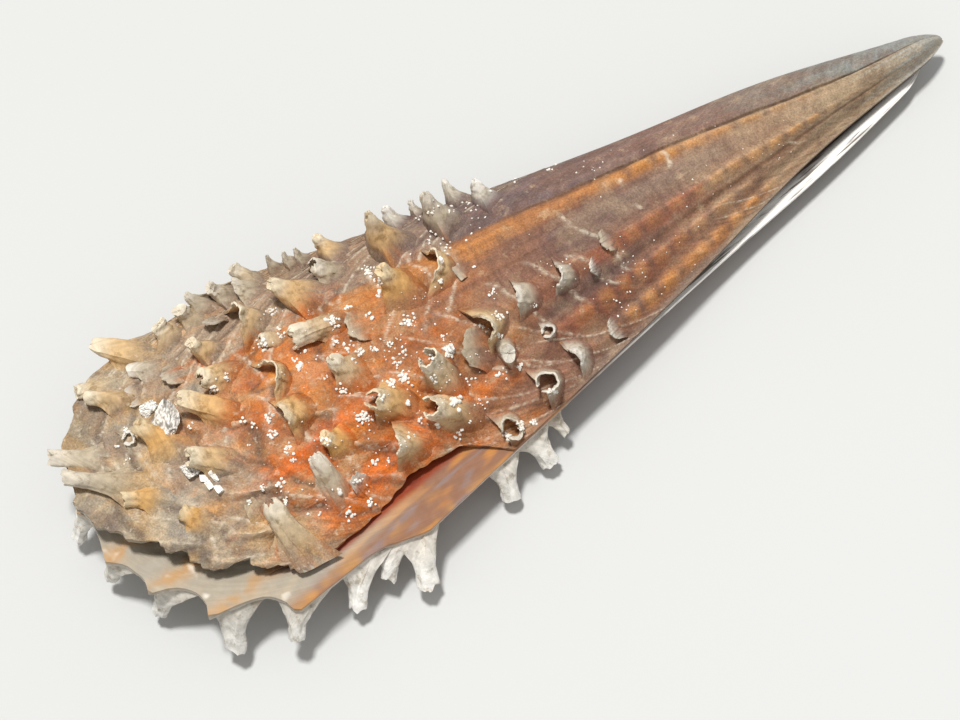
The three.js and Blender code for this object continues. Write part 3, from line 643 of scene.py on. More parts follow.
def mesh_piece(name, placed, faces, values, material, sharp=None):
    """Mesh object from points at rest, with its named values for the material, smooth up to an angle."""
    mesh = bpy.data.meshes.new(name)
    mesh.from_pydata((placed * MM).tolist(), [], faces)
    for label, numbers in values.items():
        layer = mesh.attributes.new(label, "FLOAT", "POINT")
        layer.data.foreach_set("value", np.ascontiguousarray(numbers, np.float32).ravel())
    if sharp:
        mesh.polygons.foreach_set("use_smooth", np.ones(len(mesh.polygons), bool))
        mesh.set_sharp_from_angle(angle=math.radians(sharp))
    mesh.materials.append(material)
    mesh.update()
    piece = bpy.data.objects.new(name, mesh)
    bpy.context.scene.collection.objects.link(piece)
    return piece


def valve_grid(valve):
    """Places across and radii of the rows of points on a valve."""
    shares = np.linspace(0, 1, ROWS + 1)[:, None]
    steps = np.linspace(0, 1, COLUMNS + 1)[None, :]
    low = np.full(shares.shape, -1.0)
    if valve is UPPER:
        low = np.interp(shares, *zip(*BREAK))
        low = low + 0.01 * noise(shares * 90, 0.5, 31) * smooth(0.74, 0.78, shares)
    high = 1 - HINGE_WEAR * (1 + rough(shares * 60, 0.5, valve["seed"] + 14)) * smooth(0.05, 0.15, shares)
    across = low + (high - low) * steps
    start = APEX + valve["worn"] - TIP_ROUND
    ends = edge_radius(valve, np.maximum(across, BREAK_TO) if valve is UPPER else across)
    return across, start + (ends - start) * shares


def white_rim(across, radius):
    """White of the lower valve's outside: at the hind end, along the gaping side and behind the tip."""
    reach, hind = radius - APEX, radius / margin_radius(across)
    hind_rim = 0.8 * smooth(0.9, 0.97, hind) * (across < 0.5)
    side_rim = 0.8 * smooth(-0.85, -0.95, across) * smooth(*SIDE_RIM_BEGIN, reach)
    front_rim = smooth(-0.96, -1, across) * smooth(*FRONT_RIM_END, reach)
    return np.maximum(np.maximum(hind_rim, side_rim), front_rim)


def lobe_stain(across, radius):
    """Stains on the inside of the lower valve, one on each lobe."""
    stain = sum(bell(across, place, 0.04) for place, drawn, *_ in LOBES if drawn > 0)
    return stain * smooth(0.84, 0.95, radius / margin_radius(across))


def inner_face(valve, across, radius, broad):
    """Points of the inner face, a wall's thickness below the ribs and plates."""
    plain = surface(valve, across, radius, broad)
    out = directions(valve, across, np.maximum(radius, APEX + valve["worn"] + 2))[1]
    thick = WALL * smooth(0, 12, radius - APEX - valve["worn"] + TIP_ROUND)
    inner = plain - out * np.maximum(thick, THINNEST)[..., None]
    if valve is LOWER:
        shelf = smooth(SHELF_FROM, SHELF_TO, across) * break_share(radius / margin_radius(across))
        inner[..., 2] = inner[..., 2] + SHELF * shelf
    lowest = gap_lift(valve, across, radius)
    inner[..., 2] = valve["side"] * np.maximum(valve["side"] * inner[..., 2], lowest)
    return inner


def valve_piece(name, valve, material):
    """Skin of one valve: a fine outer face, a coarser inner face, and the values for its material."""
    across, radius = valve_grid(valve)
    broad = broad_relief(across, radius)
    frill = frills_and_highlights(valve, across, radius)
    tops, dents = knobs(across, radius)
    relief = broad + fine_relief(valve, across, radius) + mounds(valve, across, radius)
    relief = relief + FRILL_HEIGHT * frill + KNOB_HEIGHT * tops
    across_in, radius_in = across[::2, ::2], radius[::2, ::2]
    inner = inner_face(valve, across_in, radius_in, broad[::2, ::2])
    points, faces = sheet(surface(valve, across, radius, relief), inner)
    reach, reach_in = radius - APEX, radius_in - APEX
    hind, hind_in = radius / margin_radius(across), radius_in / margin_radius(across_in)
    growth, growth_in = growth_place(across, radius), growth_place(across_in, radius_in)
    glow = np.minimum(root_glow(valve, across, radius) + tops, 1)
    # Painted shade under the plates' lips and in the dents between knobs
    crease_shade = creases(across, radius) + DENT_SHADE * dents
    rim_in = smooth(-0.72, -0.82, across_in) * smooth(*FRONT_RIM_END, reach_in)
    nothing, nothing_in = 0 * across, 0 * across_in
    layers = {
        "lane": (lane(across, reach), lane(across_in, reach_in)), "reach": (reach, reach_in),
        "growth": (growth, growth_in), "hind": (hind, hind_in), "relief": (relief, relief[::2, ::2]),
        "inside": (nothing, nothing_in + 1), "frills_and_highlights": (frill, nothing_in), "glow": (glow, nothing_in),
        "crease_shade": (crease_shade, nothing_in),
    }
    if valve is LOWER:
        layers["rim"] = white_rim(across, radius), rim_in
        layers["stain"] = nothing, lobe_stain(across_in, radius_in)
    values = {label: np.concatenate([part.ravel() for part in pair]) for label, pair in layers.items()}
    placed = on_floor(points, values["inside"])
    return mesh_piece(name, placed, outward(points, faces), values, material, VALVE_SHARP)


def seat_sink(valve, across, radius):
    """How deep a spine is rooted in the wall, less where the wall thins out at the margin."""
    behind = edge_radius(valve, across) - radius
    return THINNEST + SPINE_SINK * smooth(0, 15, behind) * smooth(1, 0.9, np.abs(across))


class Spine:
    """One skin of a spine, outer or inner; the inner one is smaller by the inset.

    A horn is rolled shut with a blunt end, a tube is open at its end, a hood is open behind, and a scale
    is flat."""

    def __init__(self, valve, row, seed, inset):
        place, reach, self.length, self.width, lean, swing, self.roll, self.tip, _ = row
        self.valve, self.seed, self.inset = valve, seed, inset
        self.scale, self.tube = self.roll < SCALE_TO_ROLL, self.roll >= TUBE_FROM_ROLL
        self.horn = not self.scale and not self.tube and self.tip < HORN_TO_POINT
        self.place = np.array(place, float)
        self.radius = np.minimum(reach + APEX, edge_radius(valve, self.place) - 1)
        self.back, out, self.hingeward = directions(valve, self.place, self.radius)
        turn, angle = math.radians(swing), math.radians(lean)
        self.ahead = self.back * math.cos(turn) + self.hingeward * math.sin(turn)
        self.aside = self.hingeward * math.cos(turn) - self.back * math.sin(turn)
        self.course = self.ahead * math.cos(angle) + out * math.sin(angle)
        self.crest = out * math.cos(angle) - self.ahead * math.sin(angle)
        self.root = self.on_wall(self.place, self.radius)
        self.uneven = 1 + (UNEVEN_TUBE if self.tube else UNEVEN) * self.wobble(0.9, 2)

    def on_wall(self, across, radius):
        """Points of the valve's outside, with its ribs, plates and mounds."""
        relief = broad_relief(across, radius) + mounds(self.valve, across, radius)
        return surface(self.valve, across, radius, relief)

    def wobble(self, size, kind, shift=0.0):
        """Uneven value round the spine, alike on both sides of its seam."""
        x, y = np.cos(math.pi * AROUND), np.sin(math.pi * AROUND)
        return noise(size * x + shift, size * y + 0.7 * shift, self.seed + kind)

    def ring(self, share, half, degrees):
        """Rolled section at a share of the length."""
        bend = np.radians(degrees) * AROUND
        middle = self.root + self.course * share * self.length
        sideways, upward = half * np.sin(bend), 0.9 * half * np.cos(bend)
        return middle + np.outer(sideways, self.aside) + np.outer(upward, self.crest)

    def flap(self, share, half):
        """Flat section at a share of the length."""
        hang = share * self.length * (1 - 0.3 * AROUND ** 2)
        thin = 0.04 * self.width * (1 - AROUND ** 2) - 0.6 * self.inset
        line = self.root + np.outer(hang, self.course) + np.outer(half * AROUND, self.aside)
        return line + np.outer(thin, self.crest)

    def outline(self):
        """Line on the valve that the wall rises from, sideways and along, measured from the root."""
        width, inset = self.width, self.inset
        if self.scale:
            return (0.55 * width - inset) * AROUND, -0.5 * width * (1 - AROUND ** 2)
        bend = np.radians(HORN_ROLL if self.horn else SKIRT_ROLL) * AROUND
        points_out = 1 + 0.5 * bell(np.abs(bend), math.radians(SKIRT_ROLL), 0.32)
        sideways = (0.5 * width * SPINE_SKIRT - inset) * points_out * np.sin(bend)
        slope = SPINE_SLOPE * width * min(1, self.length / width) - inset
        along = np.where(np.cos(bend) > 0, -slope, inset - 0.35 * width) * np.cos(bend)
        return sideways, along if self.horn else along + 0.45 * width * np.abs(AROUND) ** 3

    def footprint(self):
        """Places across and radii of that line, moved inside the margin."""
        sideways, along = self.outline()
        shift = np.outer(sideways, self.aside) + np.outer(along, self.ahead)
        across = self.place + (shift @ self.hingeward) / (self.radius * SPREAD)
        across = np.clip(across, -ROOT_LIMIT, ROOT_LIMIT)
        wanted = self.radius + shift @ self.back
        for _ in range(SLIDES):
            outside = edge_radius(self.valve, across) < wanted - SLIDE_FROM
            across = across + SLIDE_SHARE * outside * (self.place - across)
        return across, np.minimum(wanted, edge_radius(self.valve, across) - ROOT_MARGIN)

    def sections(self):
        """Sections at the knee and at the point."""
        width, inset, tip, uneven = self.width, self.inset, self.tip, self.uneven
        if self.scale:
            share, half = SCALE_KNEE
            return self.flap(share, half * width), self.flap(1.0, 0.5 * width * tip * uneven)
        if self.horn:
            share, half = HORN_KNEE
            knee = self.ring(share, np.maximum(half * width * uneven - inset, THINNEST), HORN_ROLL)
            if inset:
                return knee, self.ring(0.95, np.full(AROUND.shape, 0.02 * width), HORN_ROLL)
            return knee, self.ring(1.0, 0.5 * width * tip * uneven, HORN_ROLL)
        share, half = HOOD_KNEE
        knee = self.ring(share, half * width * uneven - inset, SKIRT_ROLL + 0.5 * (self.roll - SKIRT_ROLL))
        return knee, self.ring(1.0, np.maximum(0.5 * width * tip - 0.8 * inset, 0.1) * uneven, self.roll)

    def heights(self):
        """Share of the length at each point of the grid, up to a ragged end."""
        ragged = 1 + 0.08 * self.wobble(1.3, 0)
        ragged = ragged + (RAGGED_TUBE if self.tube else RAGGED) * self.wobble(4, 1)
        if not (self.scale or self.horn or self.tube):
            ragged = ragged * (1 - HOOD_CUT * np.abs(AROUND) ** 3)
        return np.linspace(0, 1, SPINE_ROWS + 1)[:, None] * ragged[None, :]

    def bumps(self, up):
        """Lumps and ridges of the wall, none at the root."""
        lumps = 0.3 * self.wobble(1.0, 3, 4 * up) + 0.15 * self.wobble(2.4, 4, 10 * up)
        ridges = 0.3 * self.wobble(3.2, 5, 0.5 * up)
        return (lumps + ridges) * smooth(0, 0.2, up) * (0.4 + 0.06 * self.width)

    def wall(self):
        """Grid of points from the root to the point, with its heights and the places where it is rooted.

        Each line of the wall leaves the valve along its surface and bends up to the point."""
        side = self.valve["side"]
        across, radius = self.footprint()
        sink = seat_sink(self.valve, across, radius)[:, None]
        seat = self.on_wall(across, radius) - directions(self.valve, across, radius)[1] * sink
        knee, point = self.sections()
        up = self.heights()
        u = up[..., None]
        low, high = (1 - u) ** 3, u ** 2
        wall = low * seat + (1 - low - high) * knee + high * point
        spread = wall - wall.mean(1, keepdims=True)
        outwards, share = (self.crest, 0.6) if self.scale else (unit(spread), 1)
        wall = wall + outwards * self.bumps(up)[..., None] * share
        if self.horn or self.tube and self.roll < OPEN_FROM_ROLL:
            end = np.clip((u - BLUNT_FROM) / BLUNT_SPAN, 0, 1)
            end = end * (1 if self.tube else smooth(*BLUNT_WIDTH, self.tip))
            wall = wall - spread * (1 - np.sqrt(1 - BLUNT_SHARE * end ** 2))
        wall[..., 2] = side * np.maximum(side * wall[..., 2], SPINE_CLEAR)
        return wall, up, across, radius


def spines_piece(name, valve, rows, material):
    """All spines of one valve in one mesh."""
    points, faces, values = [], [], {}
    count = 0
    for index, row in enumerate(rows):
        seed = 100 + 7 * index + valve["seed"]
        outer, up, across, radius = Spine(valve, row, seed, 0.0).wall()
        inner = Spine(valve, row, seed, SPINE_WALL).wall()[0]
        wall, quads = sheet(outer, inner)
        quads = outward(wall, quads)
        faces += [[corner + count for corner in face] for face in quads]
        points.append(wall)
        reach = radius - APEX
        pale = up * (SCALE_PALENESS if row[6] < SCALE_TO_ROLL else 1)
        if row in MARGIN_SPINES:
            pale = MARGIN_PALENESS + (1 - MARGIN_PALENESS) * up
        layers = {
            "lane": lane(across, reach) + 0 * up, "reach": reach + 0 * up, "spine": pale,
            "growth": growth_place(across, radius) + SPINE_GROWTH * up, "relief": 0 * up + SPINE_RELIEF,
            "warmth": 0 * up + row[8], "hind": radius / margin_radius(across) + 0 * up,
        }
        for label, numbers in layers.items():
            values.setdefault(label, []).append(np.tile(np.asarray(numbers, float).ravel(), 2))
        values.setdefault("inside", []).append(np.repeat([0.0, 1.0], up.size))
        count += len(wall)
    values = {label: np.concatenate(numbers) for label, numbers in values.items()}
    placed = on_floor(np.concatenate(points), values["inside"])
    return mesh_piece(name, placed, faces, values, material, SPINE_SHARP)


def strip_piece(name, material):
    """The horny strip between the valves along the hinge edge."""
    radius = np.linspace(APEX + STRIP_FROM, APEX + STRIP_TO, STRIP_STEPS)
    x, y = plan(UPPER, 1.0, radius)
    ragged = sum(size * noise(radius / wide, 0.5, 61 + k) for k, (size, wide) in enumerate(STRIP_WAVES))
    rings = []
    for inset, height in ((0, -1), (0, 1), (STRIP_DEEP, 1), (STRIP_DEEP, -1)):
        wave = ragged if inset == 0 else 0
        level = np.full(x.shape, height * STRIP_HALF)
        rings.append(np.stack([x, y - STRIP_INSET - inset + wave, level], -1))
    points = np.stack(rings, 1).reshape(-1, 3)
    faces = [[0, 1, 2, 3], [4 * STRIP_STEPS - 1 - k for k in range(4)]]
    for ring in range(0, 4 * (STRIP_STEPS - 1), 4):
        for corner in range(4):
            following = (corner + 1) % 4
            faces.append([ring + following, ring + corner, ring + 4 + corner, ring + 4 + following])
    return mesh_piece(name, on_floor(points), outward(points, faces), {}, material, SPINE_SHARP)


def grain_shape(subdivisions):
    ball = bmesh.new()
    bmesh.ops.create_icosphere(ball, subdivisions=subdivisions, radius=1)
    points = np.array([vertex.co for vertex in ball.verts])
    faces = [[vertex.index for vertex in face.verts] for face in ball.faces]
    ball.free()
    return points, faces


def seen_at(ground, x, y):
    """Point and outward direction of the surface that the camera sees at a pixel, or None."""
    forward = unit(np.array(CAMERA_TO) - np.array(CAMERA_AT))
    right = unit(np.cross(forward, (0, 0, 1)))
    focal = LENS / SENSOR * PICTURE[0]
    ray = focal * forward + (x - PICTURE[0] / 2) * right + (PICTURE[1] / 2 - y) * np.cross(right, forward)
    spot, normal, *_ = ground.ray_cast(Vector(CAMERA_AT), Vector(unit(ray)))
    if spot is None:
        return None
    out = np.array(normal)
    return np.array(spot) / MM, out if out @ ray < 0 else -out


def cut_rock(ball, rng):
    """A block with some corners broken off by flat faces."""
    points = np.clip(1.5 * ball, -1, 1)
    for _ in range(CRUST_FACES):
        face, depth = unit(rng.normal(size=3)), rng.uniform(*CRUST_DEPTHS)
        points -= np.maximum(points @ face - depth, 0)[:, None] * face
    return points


def sand_piece(name, ground, material):
    """Sand grains and bits of crust, each set into whatever lies under it."""
    rng = np.random.default_rng(5)
    points, faces, shade = [], [], []
    count = 0

    def add(bit, bit_faces, pale):
        nonlocal count
        faces.extend([corner + count for corner in face] for face in bit_faces)
        points.append(bit)
        shade.append(pale)
        count += len(bit)
    ball, ball_faces = grain_shape(2)
    for x, y, spread, number, width in SAND:
        for dx, dy in rng.normal(0, spread / 2, (number, 2)):
            size, pale = width * PIXEL / 2 * rng.uniform(*GRAIN_SPREAD), rng.uniform(*GRAIN_PALE)
            hit = seen_at(ground, x + dx, y + dy)
            if hit is None:
                continue
            lumps = noise(ball[:, 0] * 1.7 + 9 * size, ball[:, 1] * 1.7 + ball[:, 2], 71)
            lumps = 1 + GRAIN_LUMPS * lumps
            turn = np.linalg.qr(rng.normal(size=(3, 3)))[0]
            grain = ball * lumps[:, None] * rng.uniform(*GRAIN_FLAT, 3) @ turn * size
            add(hit[0] + GRAIN_STANDS * size * hit[1] + grain, ball_faces, np.full(len(ball), pale))
    ball, ball_faces = grain_shape(5)
    for index, (x, y, sizes, pale) in enumerate(CRUST):
        spot, out = seen_at(ground, x, y)
        along = unit(np.array(CRUST_ALONG) - out * np.dot(CRUST_ALONG, out))
        turn = np.stack([along, np.cross(out, along), out])
        rock = cut_rock(ball, np.random.default_rng(index + 3))
        crumbs = rough(rock[:, 0] * 4 + 7 * index, rock[:, 1] * 4 + 3 * rock[:, 2], 82)
        flakes = rough(rock[:, 0] * 8, rock[:, 1] * 8 + 6 * rock[:, 2], 86)
        bit = rock * (1 + CRUST_CRUMBS * crumbs)[:, None] * sizes
        shades = np.clip(pale + CRUST_FLAKES * flakes, 0, 1)
        add(spot + CRUST_STANDS * sizes[2] * out + bit @ turn, ball_faces, shades)
    return mesh_piece(name, np.concatenate(points), faces, {"pale": np.concatenate(shade)}, material)


def colour(code):
    """Linear colour from a hex code."""
    parts = [int(code[k:k + 2], 16) / 255 for k in (0, 2, 4)]
    linear = [p / 12.92 if p <= 0.04045 else ((p + 0.055) / 1.055) ** 2.4 for p in parts]
    return (*linear, 1.0)


class Paint:
    """A node material, built step by step."""

    def __init__(self, name):
        self.material = bpy.data.materials.new(name)
        self.material.use_nodes = True
        self.tree = self.material.node_tree
        self.shader = self.tree.nodes["Principled BSDF"]

    def node(self, kind, *values, **settings):
        node = self.tree.nodes.new(kind)
        for label, setting in settings.items():
            setattr(node, label, setting)
        for socket, value in zip(node.inputs, values):
            self.feed(socket, value)
        return node

    def feed(self, socket, value):
        if isinstance(value, bpy.types.NodeSocket):
            self.tree.links.new(value, socket)
        elif value is not None:
            socket.default_value = value

    def value(self, name):
        return self.node("ShaderNodeAttribute", attribute_name=name).outputs["Fac"]

    def math(self, operation, a, b=0.0):
        return self.node("ShaderNodeMath", a, b, operation=operation).outputs[0]

    def times(self, first, *others):
        """Product of several values."""
        for other in others:
            first = self.math("MULTIPLY", first, other)
        return first

    def band(self, value, start, end, low=0.0, high=1.0):
        """From low to high as the value goes from start to end."""
        settings = {"interpolation_type": "SMOOTHSTEP", "clamp": True}
        return self.node("ShaderNodeMapRange", value, start, end, low, high, **settings).outputs[0]

    def vector(self, x, y, z=0.0):
        return self.node("ShaderNodeCombineXYZ", x, y, z).outputs[0]

    def object_place(self):
        return self.node("ShaderNodeTexCoord").outputs["Object"]

    def noise(self, vector, scale=1.0, detail=3.0, roughness=0.55):
        node = self.node("ShaderNodeTexNoise")
        values = {"Vector": vector, "Scale": scale, "Detail": detail, "Roughness": roughness}
        for label, value in values.items():
            self.feed(node.inputs[label], value)
        return node.outputs["Fac"]

    def mix(self, factor, a, b, blend="MIX"):
        node = self.node("ShaderNodeMix", data_type="RGBA", blend_type=blend)
        for socket, value in ((node.inputs[0], factor), (node.inputs[6], a), (node.inputs[7], b)):
            self.feed(socket, value)
        return node.outputs[2]

    def tint(self, shade, code, *factors):
        """Shade with some of a colour mixed in, by the product of the factors."""
        return self.mix(self.times(*factors), shade, colour(code))

    def ramp(self, value, stops):
        node = self.node("ShaderNodeValToRGB", value)
        elements = node.color_ramp.elements
        while len(elements) < len(stops):
            elements.new(0.5)
        for element, (place, code) in zip(elements, stops):
            element.position = place
            element.color = colour(code)
        return node.outputs[0]

    def scale(self, shade, factor):
        """Colour made lighter or darker by a number."""
        grey = self.node("ShaderNodeCombineColor", factor, factor, factor).outputs[0]
        return self.mix(1.0, shade, grey, "MULTIPLY")

    def bump(self, height, strength, distance):
        node = self.node("ShaderNodeBump")
        for label, value in (("Strength", strength), ("Distance", distance), ("Height", height)):
            self.feed(node.inputs[label], value)
        self.tree.links.new(node.outputs[0], self.shader.inputs["Normal"])


# Colours along the shell, by share of the length: the field, and the strip along the hinge edge
FIELD = (
    (0.02, "a8a69c"), (0.1, "a28d72"), (0.24, "a38468"), (0.34, "896956"), (0.46, "70534a"),
    (0.55, "885f4a"), (0.63, "a2653a"), (0.8, "a4602d"), (0.9, "a08a70"),
)
HINGE_STRIP = (
    (0.02, "929490"), (0.12, "85837b"), (0.2, "857468"), (0.3, "84665a"), (0.42, "786059"),
    (0.52, "6c5b59"), (0.64, "847062"), (0.8, "978470"), (0.93, "998c7a"),
)

# Coloured bands along ribs and furrows: lane, half width, reach from and to, strength, colour
BANDS = (
    (-0.62, 0.27, 80, 102, 0.42, "b48064"), (0.36, 0.1, 70, 168, 0.65, "b8783c"),
    # The narrow dark bands at lanes 0.47 and -0.45 are painted shade along the furrows below the hinge
    # strip and by the gaping side
    (0.47, 0.018, 6, 120, 0.75, "54402f"), (-0.29, 0.06, 40, 75, 0.4, "b88a5e"),
    (-0.3, 0.07, 82, 126, 0.5, "a85a3f"), (-0.45, 0.035, 22, 90, 0.55, "7e5439"),
    (-0.46, 0.06, 95, 142, 0.4, "665250"), (-0.62, 0.09, 96, 138, 0.5, "98502f"),
    (-0.84, 0.09, 62, 114, 0.6, "ac6f3a"), (0.05, 0.13, 62, 112, 0.4, "8a7a6c"),
    (-0.99, 0.05, 15, 150, 0.5, "8c7d6c"), (-0.74, 0.2, 130, 158, 0.45, "87695c"),
    (0.99, 0.1, 60, 150, 0.5, "645853"), (-0.58, 0.1, 158, 205, 0.9, "d86a22"),
    (-0.28, 0.08, 172, 205, 0.8, "d0601c"), (0.2, 0.12, 184, 220, 0.65, "b85e24"),
)
BAND_FADE = 14.0

# Colours of spines by warmth, near the root and towards the point
SPINE_ROOT = (
    (0.0, "d6d0c4"), (0.1, "bdb2a0"), (0.2, "b8aa92"), (0.35, "cbad82"), (0.65, "d4a668"), (1.0, "d69e55"),
)
SPINE_POINT = (
    (0.0, "f0ede6"), (0.1, "dcd6ca"), (0.2, "d3c9b8"), (0.35, "dfd2b8"), (0.65, "dbc7a3"), (1.0, "dcbf90"),
)

# Colours of clouds, stains, dirt and wear; the dark one under the plates' lips and in dents is painted
# shade, and the frill colour also a painted highlight on the lips
CLOUD_PALE, CLOUD_ORANGE = "b08a62", "b85f1d"
HIND_DARK, HIND_PALE = "867c6e", "ae9f84"
STAIN_OCHRE, STAIN_GREY = "b48c54", "838079"
BLOTCH_PALE, BLOTCH_DARK = "b9a07e", "805c46"
MOTTLE_PALE, MOTTLE_DARK = "cdb08c", "5e463c"
FOOT_ORANGE, CREASE_SHADE, DUST, FRILL_AND_LIP_HIGHLIGHT = "c98b40", "54443a", "cdbca2", "dccfb8"
FLECK_PALE, FLECK_DARK = "ffffff", "d2ccc2"
RIM_WHITE, RIM_DARK = "f6f2ea", "81786f"
HIND_RIM_PALE, HIND_RIM_DARK = "e4ddd0", "b9ae9c"

# Colours of the inside; the dark one is painted shade in the gap between the valves at the front, and the
# red one a painted shadow under the broken edge
INSIDE, INSIDE_ORANGE, INSIDE_LILAC, INSIDE_GAP_SHADE = "8e6750", "c58440", "8b7d7c", "33281f"
MARGIN_PALE, MARGIN_GREY = "bcb4a0", "9c9484"
LOBE_OCHRE, CHIP_WHITE, BREAK_SHADOW = "c08c4c", "efe7d6", "8f3a1c"

# Colours of the hinge strip, the sand by paleness, and the floor
STRIP_DARK, STRIP_PALE = "2a1a12", "6b5240"
SAND_SHADES = ((0.0, "8e8a84"), (0.35, "c4beb4"), (0.6, "eae5da"), (1.0, "fdf9ef"))
FLOOR_DARK, FLOOR_PALE = "c6c6c3", "ccccca"

# Roughness, and for the shell how strong its shine is
SHELL_ROUGH, SHELL_SHINE = (0.5, 0.72), 0.2
STRIP_ROUGH, SAND_ROUGH, FLOOR_ROUGH = 0.55, 0.7, 0.85

# Patterns: scale, detail and roughness
FILM, PATCH, BLOTCH, MOTTLE = (620.0, 3.0, 0.6), (380.0, 5.0, 0.7), (95.0, 4.0, 0.6), (240.0, 5.0, 0.7)
STAINS, SPECKS, SOFT, LINES = (75.0, 3.0, 0.6), (2400.0, 2.0, 0.6), (130.0, 2.0, 0.5), (1.0, 4.0, 0.7)

# Patterns drawn out along the ribs: features across and along, place in the pattern, detail and roughness
BEND, SHIFT, STREAKS = (4.0, 0.06, 0.0), (7.0, 0.06, 3.0), (26.0, 0.05, 0.0)
CLOUDS, SPOTS = (8.0, 0.09, 7.0, 4.0, 0.65), (11.0, 0.06, 5.0, 1.0, 0.5)
BEND_BY, SHIFT_BY = 0.14, 60.0

# Where these come in along the shell, by reach
CLOUDS_ALONG, HIND_ALONG, STAINS_ALONG = (144.0, 174.0), (202.0, 238.0), (192.0, 225.0)
GLOW_ALONG, STREAKS_ALONG, DUST_ALONG = (120.0, 190.0), (30.0, 140.0), (120.0, 210.0)
DARK_SPINES_ALONG, HIND_RIM_ALONG = (200.0, 232.0), (150.0, 190.0)
INSIDE_GAP_SHADE_ALONG, BREAK_SHADOW_ALONG = (140.0, 95.0), (130.0, 165.0)


class ShellPaint(Paint):
    """Worn shell: bands along the ribs, growth lines, clouds, frills, dirt, painted light and shade, pale
    spines and the inside.
    """

    def __init__(self, name):
        super().__init__(name)
        self.line, self.reach, self.spine = self.value("lane"), self.value("reach"), self.value("spine")
        self.place = self.object_place()
        self.bent = self.shifted(self.line, self.stretched(*BEND), BEND_BY)
        self.along = self.shifted(self.reach, self.stretched(*SHIFT), SHIFT_BY)
        grown = self.vector(self.times(self.line, 3.0), self.times(self.value("growth"), 0.5))
        self.lines, self.streaks = self.noise(grown, *LINES), self.stretched(*STREAKS)
        self.film, self.patch = self.noise(self.place, *FILM), self.noise(self.place, *PATCH)

    def stretched(self, lanes, lengths, offset, detail=3.0, roughness=0.55):
        """Noise drawn out along the ribs or across them."""
        spot = self.vector(self.times(self.line, lanes), self.times(self.reach, lengths), offset)
        return self.noise(spot, 1.0, detail, roughness)

    def shifted(self, value, noise, amount):
        return self.math("ADD", value, self.times(self.math("SUBTRACT", noise, 0.5), amount))

    def field(self):
        """Clean colours: the ramp along the shell, the bands, orange clouds and the grey hind end."""
        share = self.math("DIVIDE", self.along, LENGTH)
        above = self.band(self.bent, 0.46, 0.5)
        shade = self.mix(above, self.ramp(share, FIELD), self.ramp(share, HINGE_STRIP))
        for middle, half, start, end, strength, code in BANDS:
            apart = self.math("ABSOLUTE", self.math("SUBTRACT", self.bent, middle))
            sideways = self.band(apart, 1.6 * half, 0.3 * half, 0.0, strength)
            begun = self.band(self.along, start - BAND_FADE, start + BAND_FADE)
            ended = self.band(self.along, end + BAND_FADE, end - BAND_FADE)
            shade = self.tint(shade, code, sideways, begun, ended)
        cloud = self.stretched(*CLOUDS)
        behind = self.times(self.band(self.along, *CLOUDS_ALONG), self.band(self.bent, 0.64, 0.5))
        shade = self.tint(shade, CLOUD_PALE, behind, self.band(cloud, 0.47, 0.37, 0.0, 0.5))
        shade = self.tint(shade, CLOUD_ORANGE, behind, self.band(cloud, 0.5, 0.64, 0.0, 0.85))
        greyed = self.mix(self.band(cloud, 0.35, 0.65), colour(HIND_DARK), colour(HIND_PALE))
        shade = self.mix(self.band(self.along, *HIND_ALONG, 0.0, 0.9), shade, greyed)
        stained, aged = self.noise(self.place, *STAINS), self.band(self.along, *STAINS_ALONG)
        shade = self.tint(shade, STAIN_OCHRE, aged, self.band(stained, 0.51, 0.62, 0.0, 0.55))
        shade = self.tint(shade, STAIN_GREY, aged, self.band(stained, 0.48, 0.37, 0.0, 0.6))
        glowing = self.band(self.along, *GLOW_ALONG, 0.42, 0.85)
        return self.tint(shade, FOOT_ORANGE, self.value("glow"), glowing)

    def weathered(self, shade):
        """Growth lines, streaks, blotches, painted light and shade by relief, painted shade under the
        plates' lips and in dents, dust, and frills with a painted highlight on the lips.
        """
        film, place = self.film, self.place
        shade = self.scale(shade, self.band(self.lines, 0.3, 0.7, 0.8, 1.15))
        streaky = self.scale(shade, self.band(self.streaks, 0.3, 0.7, 0.88, 1.08))
        shade = self.mix(self.band(self.reach, *STREAKS_ALONG, 0.25, 1.0), shade, streaky)
        blotch, mottle = self.noise(place, *BLOTCH), self.noise(place, *MOTTLE)
        shade = self.tint(shade, BLOTCH_PALE, self.band(blotch, 0.5, 0.62, 0.0, 0.2))
        shade = self.tint(shade, BLOTCH_DARK, self.band(blotch, 0.5, 0.38, 0.0, 0.3))
        # Painted light and shade: raised relief made lighter, low relief darker
        shade = self.scale(shade, self.band(self.value("relief"), -0.9, 1.3, 0.76, 1.16))
        shade = self.tint(shade, MOTTLE_DARK, self.band(mottle, 0.5, 0.32, 0.0, 0.45))
        shade = self.tint(shade, MOTTLE_PALE, self.band(mottle, 0.55, 0.72, 0.0, 0.4))
        # Painted shade under the plates' lips and in the dents between knobs
        shade = self.tint(shade, CREASE_SHADE, self.value("crease_shade"), self.band(film, 0.35, 0.65, 0.4, 0.75))
        dusty = self.band(self.along, *DUST_ALONG, 0.08, 0.5)
        shade = self.tint(shade, DUST, self.band(film, 0.58, 0.72), dusty)
        shade = self.scale(shade, self.band(self.noise(place, *SPECKS), 0.3, 0.7, 0.8, 1.2))
        # Pale frills, and on the plates' lips a pale line that is partly their own paleness and partly a
        # painted highlight
        return self.tint(shade, FRILL_AND_LIP_HIGHLIGHT, self.value("frills_and_highlights"), self.band(film, 0.4, 0.62, 0.1, 0.75))

